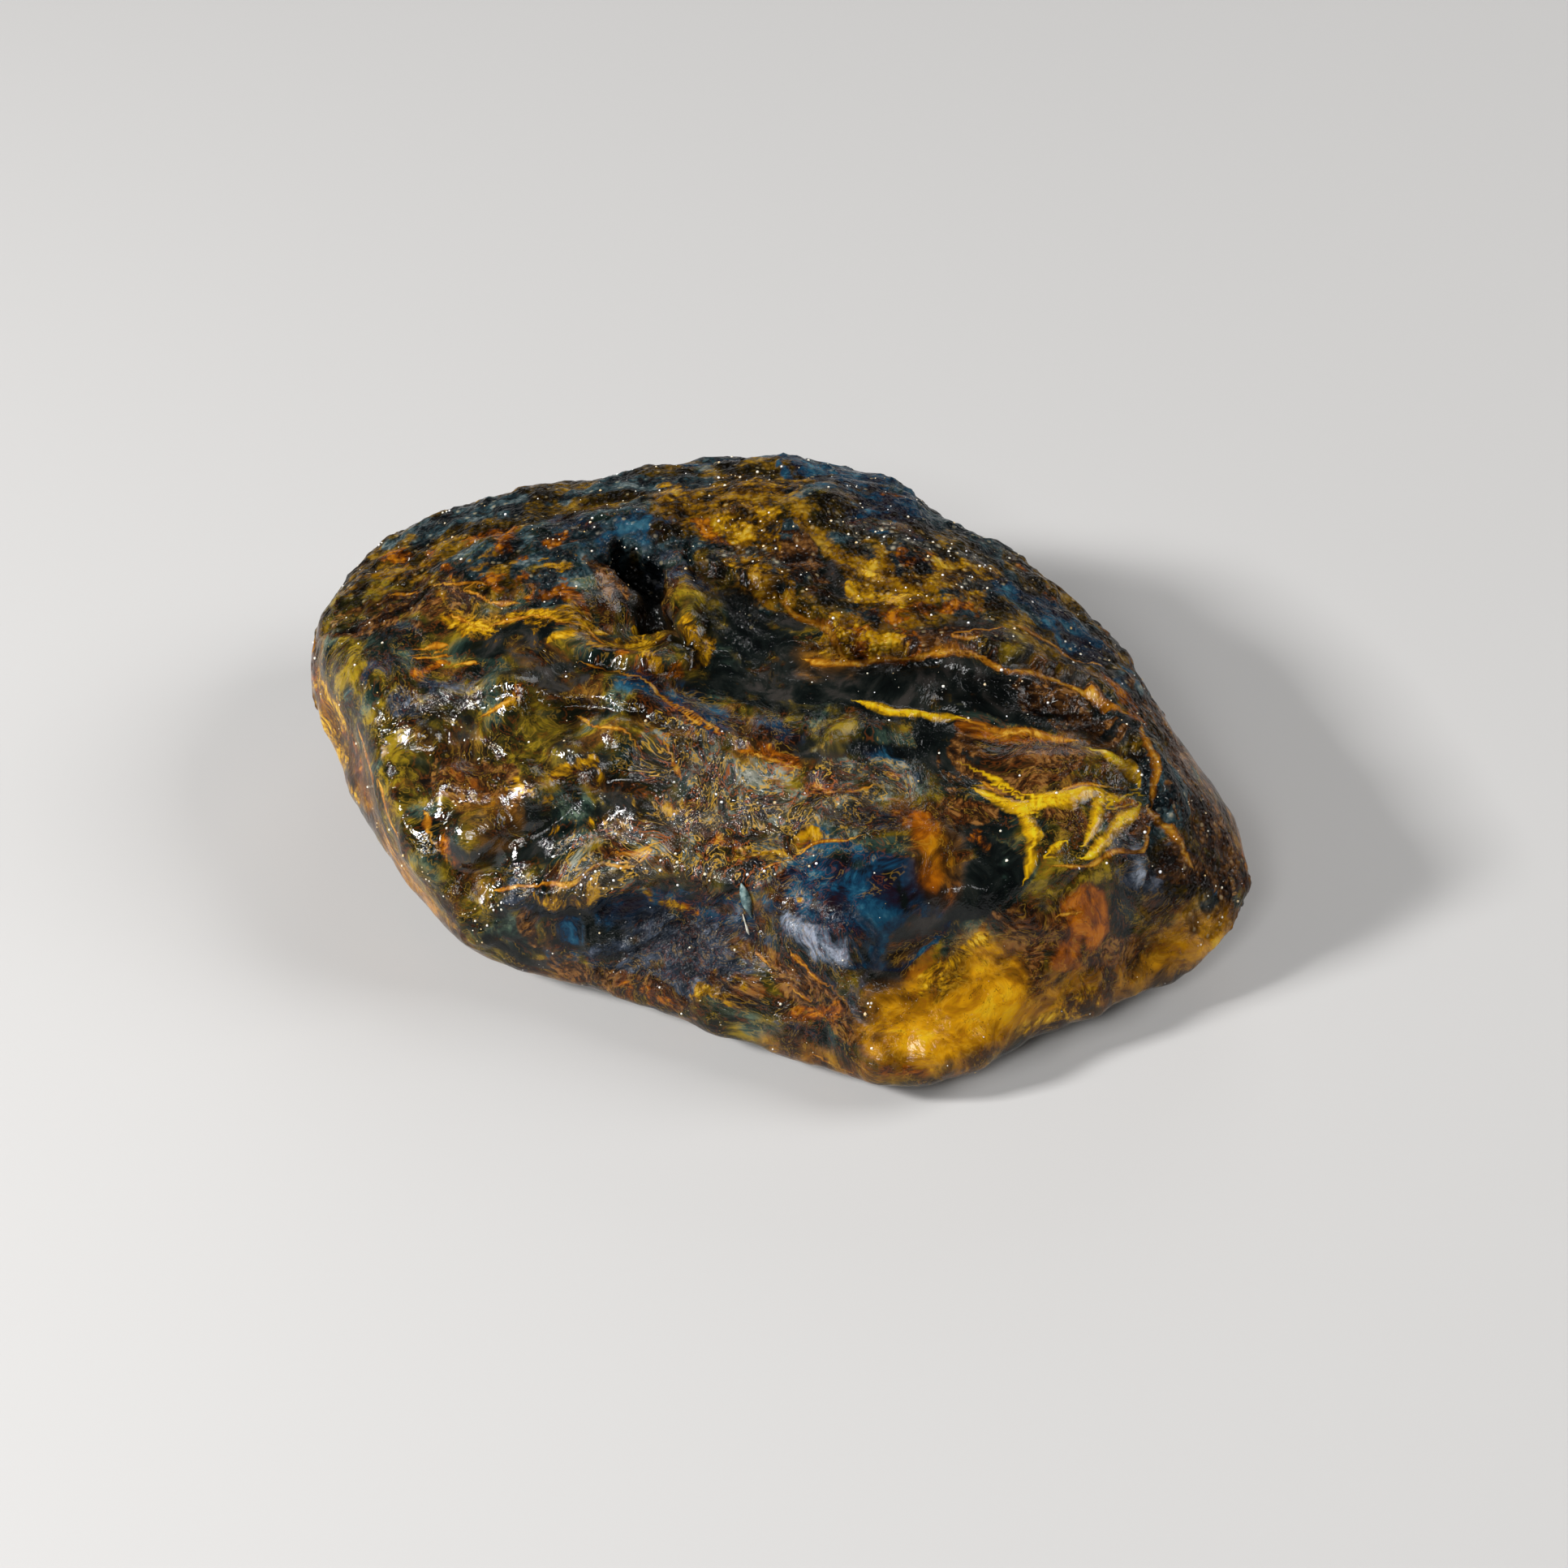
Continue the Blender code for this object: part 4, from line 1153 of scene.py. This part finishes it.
def speck_material(name, colours, roughness, coat=0.0):
    """A sealed speck's finish: several colours, from one speck to the next and within each."""
    n = Nodes(name)
    share = n.between(n.noise(n.place, 0.9, 3.0, 0.7), 0.35, 0.65)
    n.set(
        colour=n.ramp(share, colours),
        roughness=n.between(n.noise(n.place, 2.4, 2.0), 0.3, 0.7, roughness * 0.6, roughness * 1.4),
        coat=coat,
    )
    n.bump(n.noise(n.place, 4.0, 3.0), 0.05 * MM, 0.6)
    return n.material


# --- what repeats ------------------------------------------------------------------------------


SCATTER_INPUTS = {
    "Geometry": "Geometry", "Density": "Float", "Smallest": "Float", "Largest": "Float",
    "Depth From": "Float", "Depth To": "Float", "Shape": "Vector", "Mask": "Float", "Seed": "Int",
    "Material": "Material",
}


def scatter_tree(name, detail):
    """A node tree that strews small rounded bits over, or at a depth under, a surface."""
    tree = bpy.data.node_groups.new(name, "GeometryNodeTree")
    for label, kind in SCATTER_INPUTS.items():
        tree.interface.new_socket(label, in_out="INPUT", socket_type="NodeSocket" + kind)
    tree.interface.new_socket("Geometry", in_out="OUTPUT", socket_type="NodeSocketGeometry")
    given = tree.nodes.new("NodeGroupInput").outputs
    result = tree.nodes.new("NodeGroupOutput")

    def add(kind, links, **settings):
        node = tree.nodes.new(kind)
        for key, value in settings.items():
            setattr(node, key, value)
        for key, value in links.items():
            feed(tree, node.inputs[key], value)
        return node

    def random_value(low, high, seed, kind="FLOAT"):
        node = tree.nodes.new("FunctionNodeRandomValue")
        node.data_type = kind
        first = {"FLOAT": 2, "FLOAT_VECTOR": 0}[kind]
        for socket, value in zip(node.inputs[first:first + 2], (low, high)):
            feed(tree, socket, value)
        offset = add("ShaderNodeMath", {0: given["Seed"], 1: seed}, operation="ADD")
        tree.links.new(offset.outputs[0], node.inputs["Seed"])
        return node.outputs[{"FLOAT": 1, "FLOAT_VECTOR": 0}[kind]]

    mask = add("ShaderNodeMath", {0: given["Density"], 1: given["Mask"]}, operation="MULTIPLY")
    spread = add(
        "GeometryNodeDistributePointsOnFaces",
        {"Mesh": given["Geometry"], "Density": mask.outputs[0], "Seed": given["Seed"]},
    )
    depth = random_value(given["Depth From"], given["Depth To"], 1)
    inward = add("ShaderNodeMath", {0: depth, 1: -1.0}, operation="MULTIPLY")
    offset = add(
        "ShaderNodeVectorMath", {0: spread.outputs["Normal"], "Scale": inward.outputs[0]}, operation="SCALE"
    )
    placed = add(
        "GeometryNodeSetPosition", {"Geometry": spread.outputs["Points"], "Offset": offset.outputs["Vector"]}
    )
    ball = add("GeometryNodeMeshIcoSphere", {"Radius": 1.0, "Subdivisions": detail})
    mostly_small = add("ShaderNodeMath", {0: random_value(0.0, 1.0, 2), 1: 3.0}, operation="POWER")
    size = add(
        "ShaderNodeMapRange",
        {"Value": mostly_small.outputs[0], "To Min": given["Smallest"], "To Max": given["Largest"]},
    )
    scale = add(
        "ShaderNodeVectorMath", {0: given["Shape"], "Scale": size.outputs["Result"]}, operation="SCALE"
    )
    turn = random_value((0.0, 0.0, 0.0), FULL_TURNS, 3, "FLOAT_VECTOR")
    strewn = add(
        "GeometryNodeInstanceOnPoints",
        {
            "Points": placed.outputs["Geometry"], "Instance": ball.outputs["Mesh"],
            "Rotation": turn, "Scale": scale.outputs["Vector"],
        },
    )
    real = add("GeometryNodeRealizeInstances", {"Geometry": strewn.outputs["Instances"]})
    finished = add(
        "GeometryNodeSetMaterial", {"Geometry": real.outputs["Geometry"], "Material": given["Material"]}
    )
    tree.links.new(finished.outputs["Geometry"], result.inputs["Geometry"])
    return tree


def strew(name, material, detail, mask, **values):
    """Strews bits on the amber body by a node tree, and returns them as one finished piece."""
    tree = scatter_tree(name, detail)
    holder = linked_object(name + "_holder", bpy.data.objects["amber_body"].data.copy())
    modifier = holder.modifiers.new(name, "NODES")
    modifier.node_group = tree
    sockets = {s.name: s.identifier for s in tree.interface.items_tree if s.in_out == "INPUT"}
    modifier[sockets["Material"]] = material
    modifier[sockets["Mask"] + "_use_attribute"] = True
    modifier[sockets["Mask"] + "_attribute_name"] = mask
    for label, value in values.items():
        modifier[sockets[label.replace("_", " ").title()]] = value
    mesh = evaluated_mesh(holder)
    bpy.data.objects.remove(holder)
    mesh.shade_smooth()
    return finished_piece(name, mesh, material)


def spindle(view, ends, half_widths):
    """A closed body along the surface between two places in the view, with those half-widths."""
    surface = surface_of(bpy.data.objects["amber_body"].data)
    start, end = (view.on(surface, *place) * MM for place in ends)
    outward = (view.place - start).normalized()
    across = (end - start).cross(outward).normalized()
    turns = [2 * math.pi * k / SPINDLE_SIDES for k in range(SPINDLE_SIDES)]
    spokes = [math.cos(t) * across + math.sin(t) * outward for t in turns]
    shape = bmesh.new()
    rings = []
    for step, half_width in enumerate(half_widths):
        centre = start.lerp(end, step / (len(half_widths) - 1)) + SEED_RISE * outward
        rings.append([shape.verts.new(centre + half_width * spoke) for spoke in spokes])
    for ring, after in zip(rings, rings[1:]):
        for k in range(SPINDLE_SIDES):
            shape.faces.new((ring[k - 1], ring[k], after[k], after[k - 1]))
    shape.faces.new(rings[0])
    shape.faces.new(rings[-1])
    bmesh.ops.recalc_face_normals(shape, faces=shape.faces)
    mesh = mesh_from(shape, "spindle")
    mesh.shade_smooth()
    return mesh


# --- settings ----------------------------------------------------------------------------------


def amount_setting(name, description, default, low=0.0):
    return FloatProperty(name=name, description=description, default=default, min=low)


def share_setting(name, description, default):
    """A setting from 0 to 1."""
    return FloatProperty(
        name=name, description=description, default=default, min=0.0, max=1.0, subtype="FACTOR"
    )


def length_setting(name, description, default, low):
    return FloatProperty(
        name=name, description=description, default=default, min=low, unit="LENGTH", precision=5
    )


def colour_setting(name, description, default):
    return FloatVectorProperty(
        name=name, description=description, default=default, subtype="COLOR", min=0.0, max=1.0
    )


class AmberShape(PropertyGroup):
    """Sizes of the lump's broken surface."""

    grain: length_setting("Surface Grain", "Edge length of the fine surface's faces", 0.37 * MM, 0.1 * MM)
    relief: amount_setting("Relief", "How strongly the broken surface is worked", 1.0)


class AmberLooks(PropertyGroup):
    """How light passes through the amber."""

    transmission: share_setting("Clearness", "Share of the light that passes into the amber", 0.45)
    skin_transmission: share_setting("Skin Clearness", "Share that passes in through the skin", 0.08)
    ior: amount_setting("IOR", "How strongly amber bends light", 1.54, 1.0)
    gloss: share_setting("Gloss", "Strength of the surface's reflections", 0.03)
    wet_gloss: share_setting("Wet Gloss", "Strength of the reflections on the smooth lumps and veins", 0.45)
    absorption_colour: colour_setting("Depth Colour", "Colour of light deep in it", (0.80, 0.52, 0.06))
    absorption_density: amount_setting("Depth Density", "How fast light is absorbed, for each metre", 450.0)


class AmberContents(PropertyGroup):
    """How much is sealed in the amber, for each square metre of its surface, and the seed's size."""

    flakes: amount_setting("Rust Flakes", "Thin flakes under the surface", 26000.0)
    crumbs: amount_setting("Plant Crumbs", "Dark crumbs of bark and soil", 30000.0)
    bubbles: amount_setting("Air Bubbles", "Small bubbles under the surface", 60000.0)
    # The glints' white and pale gold colour is painted highlight
    glints: amount_setting("Glints", "Tiny bright grains at the surface", 600000.0)
    seed_width: length_setting("Seed Width", "Width of the sealed seed", 0.85 * MM, 0.1 * MM)


class AmberStage(PropertyGroup):
    """The floor, the lights and the camera."""

    floor_colour: colour_setting("Floor Colour", "Colour of the plain floor", (0.52, 0.51, 0.50))
    brightness: amount_setting("Brightness", "Scales every studio light", 1.0)
    lens: amount_setting("Lens", "Focal length in millimetres", 85.0, 1.0)
    height_angle: FloatProperty(
        name="Camera Height", description="Angle that the camera looks down at",
        default=math.radians(43), subtype="ANGLE",
    )
    distance: length_setting("Camera Distance", "From the camera to the lump", 0.3, 0.01)


SETTINGS = {
    "amber_shape": AmberShape,
    "amber_looks": AmberLooks,
    "amber_contents": AmberContents,
    "amber_stage": AmberStage,
}


# --- operators ---------------------------------------------------------------------------------


class AMBER_OT_body(Operator):
    """Makes the lump of amber, with its broken surface and its markings"""

    bl_idname = "amber.body"
    bl_label = "Amber Body"

    def execute(self, context):
        scene = context.scene
        mesh = fine_lump(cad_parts[NODE], scene.amber_shape.grain)
        work_broken_surface(mesh, scene.amber_shape.relief, View(scene.amber_stage))
        body = finished_piece("amber_body", mesh, amber_material(scene.amber_looks))
        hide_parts(NODE)
        return {"FINISHED"}


class AMBER_OT_rust_flakes(Operator):
    """Strews thin rust and gold flakes just under the surface"""

    bl_idname = "amber.rust_flakes"
    bl_label = "Rust Flakes"

    def execute(self, context):
        colours = ((0.25, 0.05, 0.01), (0.7, 0.25, 0.02), (0.95, 0.6, 0.06))
        strew(
            "rust_flakes", speck_material("rust_flake", colours, 0.35), 1, "clear_of_base",
            density=context.scene.amber_contents.flakes, shape=(1.0, 0.6, 0.09), seed=3,
            smallest=0.15 * MM, largest=0.8 * MM, depth_from=0.3 * MM, depth_to=2.5 * MM,
        )
        return {"FINISHED"}


class AMBER_OT_plant_crumbs(Operator):
    """Strews dark crumbs of bark and soil inside the lump"""

    bl_idname = "amber.plant_crumbs"
    bl_label = "Plant Crumbs"

    def execute(self, context):
        colours = ((0.006, 0.004, 0.003), (0.03, 0.016, 0.008), (0.09, 0.05, 0.02))
        strew(
            "plant_crumbs", speck_material("plant_crumb", colours, 0.6), 1, "clear_of_base",
            density=context.scene.amber_contents.crumbs, shape=(1.0, 0.45, 0.35), seed=8,
            smallest=0.1 * MM, largest=0.5 * MM, depth_from=0.3 * MM, depth_to=3.5 * MM,
        )
        return {"FINISHED"}


class AMBER_OT_air_bubbles(Operator):
    """Strews small air bubbles under the surface, opaque and pale: their colour is painted reflection"""

    bl_idname = "amber.air_bubbles"
    bl_label = "Air Bubbles"

    def execute(self, context):
        # Painted reflection: the bubbles' pale colour stands in for the light they mirror
        colours = ((0.5, 0.4, 0.15), (0.9, 0.85, 0.7))
        strew(
            "air_bubbles", speck_material("air_bubble", colours, 0.05, 1.0), 2, "clear_of_base",
            density=context.scene.amber_contents.bubbles, shape=(1.0, 1.0, 0.9), seed=14,
            smallest=0.03 * MM, largest=0.13 * MM, depth_from=0.15 * MM, depth_to=1.5 * MM,
        )
        return {"FINISHED"}


class AMBER_OT_glints(Operator):
    """Strews tiny white and pale gold grains at the surface: painted highlights, the surface's glints"""

    bl_idname = "amber.glints"
    bl_label = "Glints"

    def execute(self, context):
        colours = ((0.7, 0.45, 0.15), (0.85, 0.8, 0.65), (0.95, 0.95, 1.0))
        strew(
            "glints", speck_material("glint", colours, 0.1, 1.0), 1, "sparkling",
            density=context.scene.amber_contents.glints, shape=(1.0, 1.0, 1.0), seed=21,
            smallest=0.025 * MM, largest=0.15 * MM, depth_from=-0.03 * MM, depth_to=0.04 * MM,
        )
        return {"FINISHED"}


class AMBER_OT_seed(Operator):
    """Sets the sealed seed and its stalk in the broken front"""

    bl_idname = "amber.seed"
    bl_label = "Seed"

    def execute(self, context):
        view = View(context.scene.amber_stage)
        width = context.scene.amber_contents.seed_width
        seed_colours = ((0.02, 0.045, 0.05), (0.07, 0.14, 0.145), (0.24, 0.33, 0.31))
        stalk_colours = ((0.25, 0.24, 0.18), (0.75, 0.72, 0.62))
        for name, places, swell, material in (
            ("seed", SEED_ENDS, SEED_SWELL, speck_material("seed_skin", seed_colours, 0.3, 0.5)),
            ("stalk", STALK_ENDS, STALK_SWELL, speck_material("stalk", stalk_colours, 0.35, 0.5)),
        ):
            finished_piece(name, spindle(view, places, [share * width / 2 for share in swell]), material)
        return {"FINISHED"}


class AMBER_OT_stage(Operator):
    """Lays the pale floor and sets up the soft lights, the camera and the dim surroundings"""

    bl_idname = "amber.stage"
    bl_label = "Stage"

    def execute(self, context):
        scene = context.scene
        stage = scene.amber_stage
        shape = bmesh.new()
        bmesh.ops.create_grid(shape, x_segments=1, y_segments=1, size=FLOOR_HALF)
        floor = linked_object("floor", mesh_from(shape, "floor"))
        n = Nodes("floor")
        n.set(colour=tuple(stage.floor_colour), roughness=0.7)
        floor.data.materials.append(n.material)
        world = bpy.data.worlds.new("studio")
        world.use_nodes = True
        colour, strength = SURROUNDINGS
        background = world.node_tree.nodes["Background"].inputs
        background["Color"].default_value = (*colour, 1)
        background["Strength"].default_value = strength
        scene.world = world
        scene.view_settings.view_transform = "Standard"
        for name, place, size, power in SOFTBOXES:
            light = bpy.data.lights.new(name, "AREA")
            light.size = size
            light.energy = power * stage.brightness
            lamp = linked_object(name, light)
            lamp.location = place
            lamp.rotation_euler = (-Vector(place)).to_track_quat("-Z", "Y").to_euler()
        camera = bpy.data.cameras.new("camera")
        camera.lens = stage.lens
        camera.sensor_width = SENSOR
        camera.clip_start = 0.01
        viewer = linked_object("camera", camera)
        view = View(stage)
        viewer.location = view.place
        viewer.rotation_euler = view.turn.to_euler()
        scene.camera = viewer
        return {"FINISHED"}


STEPS_IN_ORDER = (
    AMBER_OT_body,
    AMBER_OT_rust_flakes,
    AMBER_OT_plant_crumbs,
    AMBER_OT_air_bubbles,
    AMBER_OT_glints,
    AMBER_OT_seed,
    AMBER_OT_stage,
)


class AMBER_PT_panel(Panel):
    """The amber's settings and the buttons that make each piece"""

    bl_idname = "AMBER_PT_panel"
    bl_label = "Raw Amber Piece"
    bl_space_type = "VIEW_3D"
    bl_region_type = "UI"
    bl_category = "Amber"

    def draw(self, context):
        for group in SETTINGS:
            settings = getattr(context.scene, group)
            box = self.layout.box()
            for name in type(settings).__annotations__:
                box.prop(settings, name)
        for step in STEPS_IN_ORDER:
            self.layout.operator(step.bl_idname)


def register():
    for group in (*SETTINGS.values(), *STEPS_IN_ORDER, AMBER_PT_panel):
        bpy.utils.register_class(group)
    for name, group in SETTINGS.items():
        setattr(bpy.types.Scene, name, PointerProperty(type=group))


def unregister():
    for name in SETTINGS:
        delattr(bpy.types.Scene, name)
    for group in reversed((*SETTINGS.values(), *STEPS_IN_ORDER, AMBER_PT_panel)):
        bpy.utils.unregister_class(group)


def main():
    register()
    for step in STEPS_IN_ORDER:
        family, name = step.bl_idname.split(".")
        getattr(getattr(bpy.ops, family), name)()


if __name__ == "__main__":
    main()
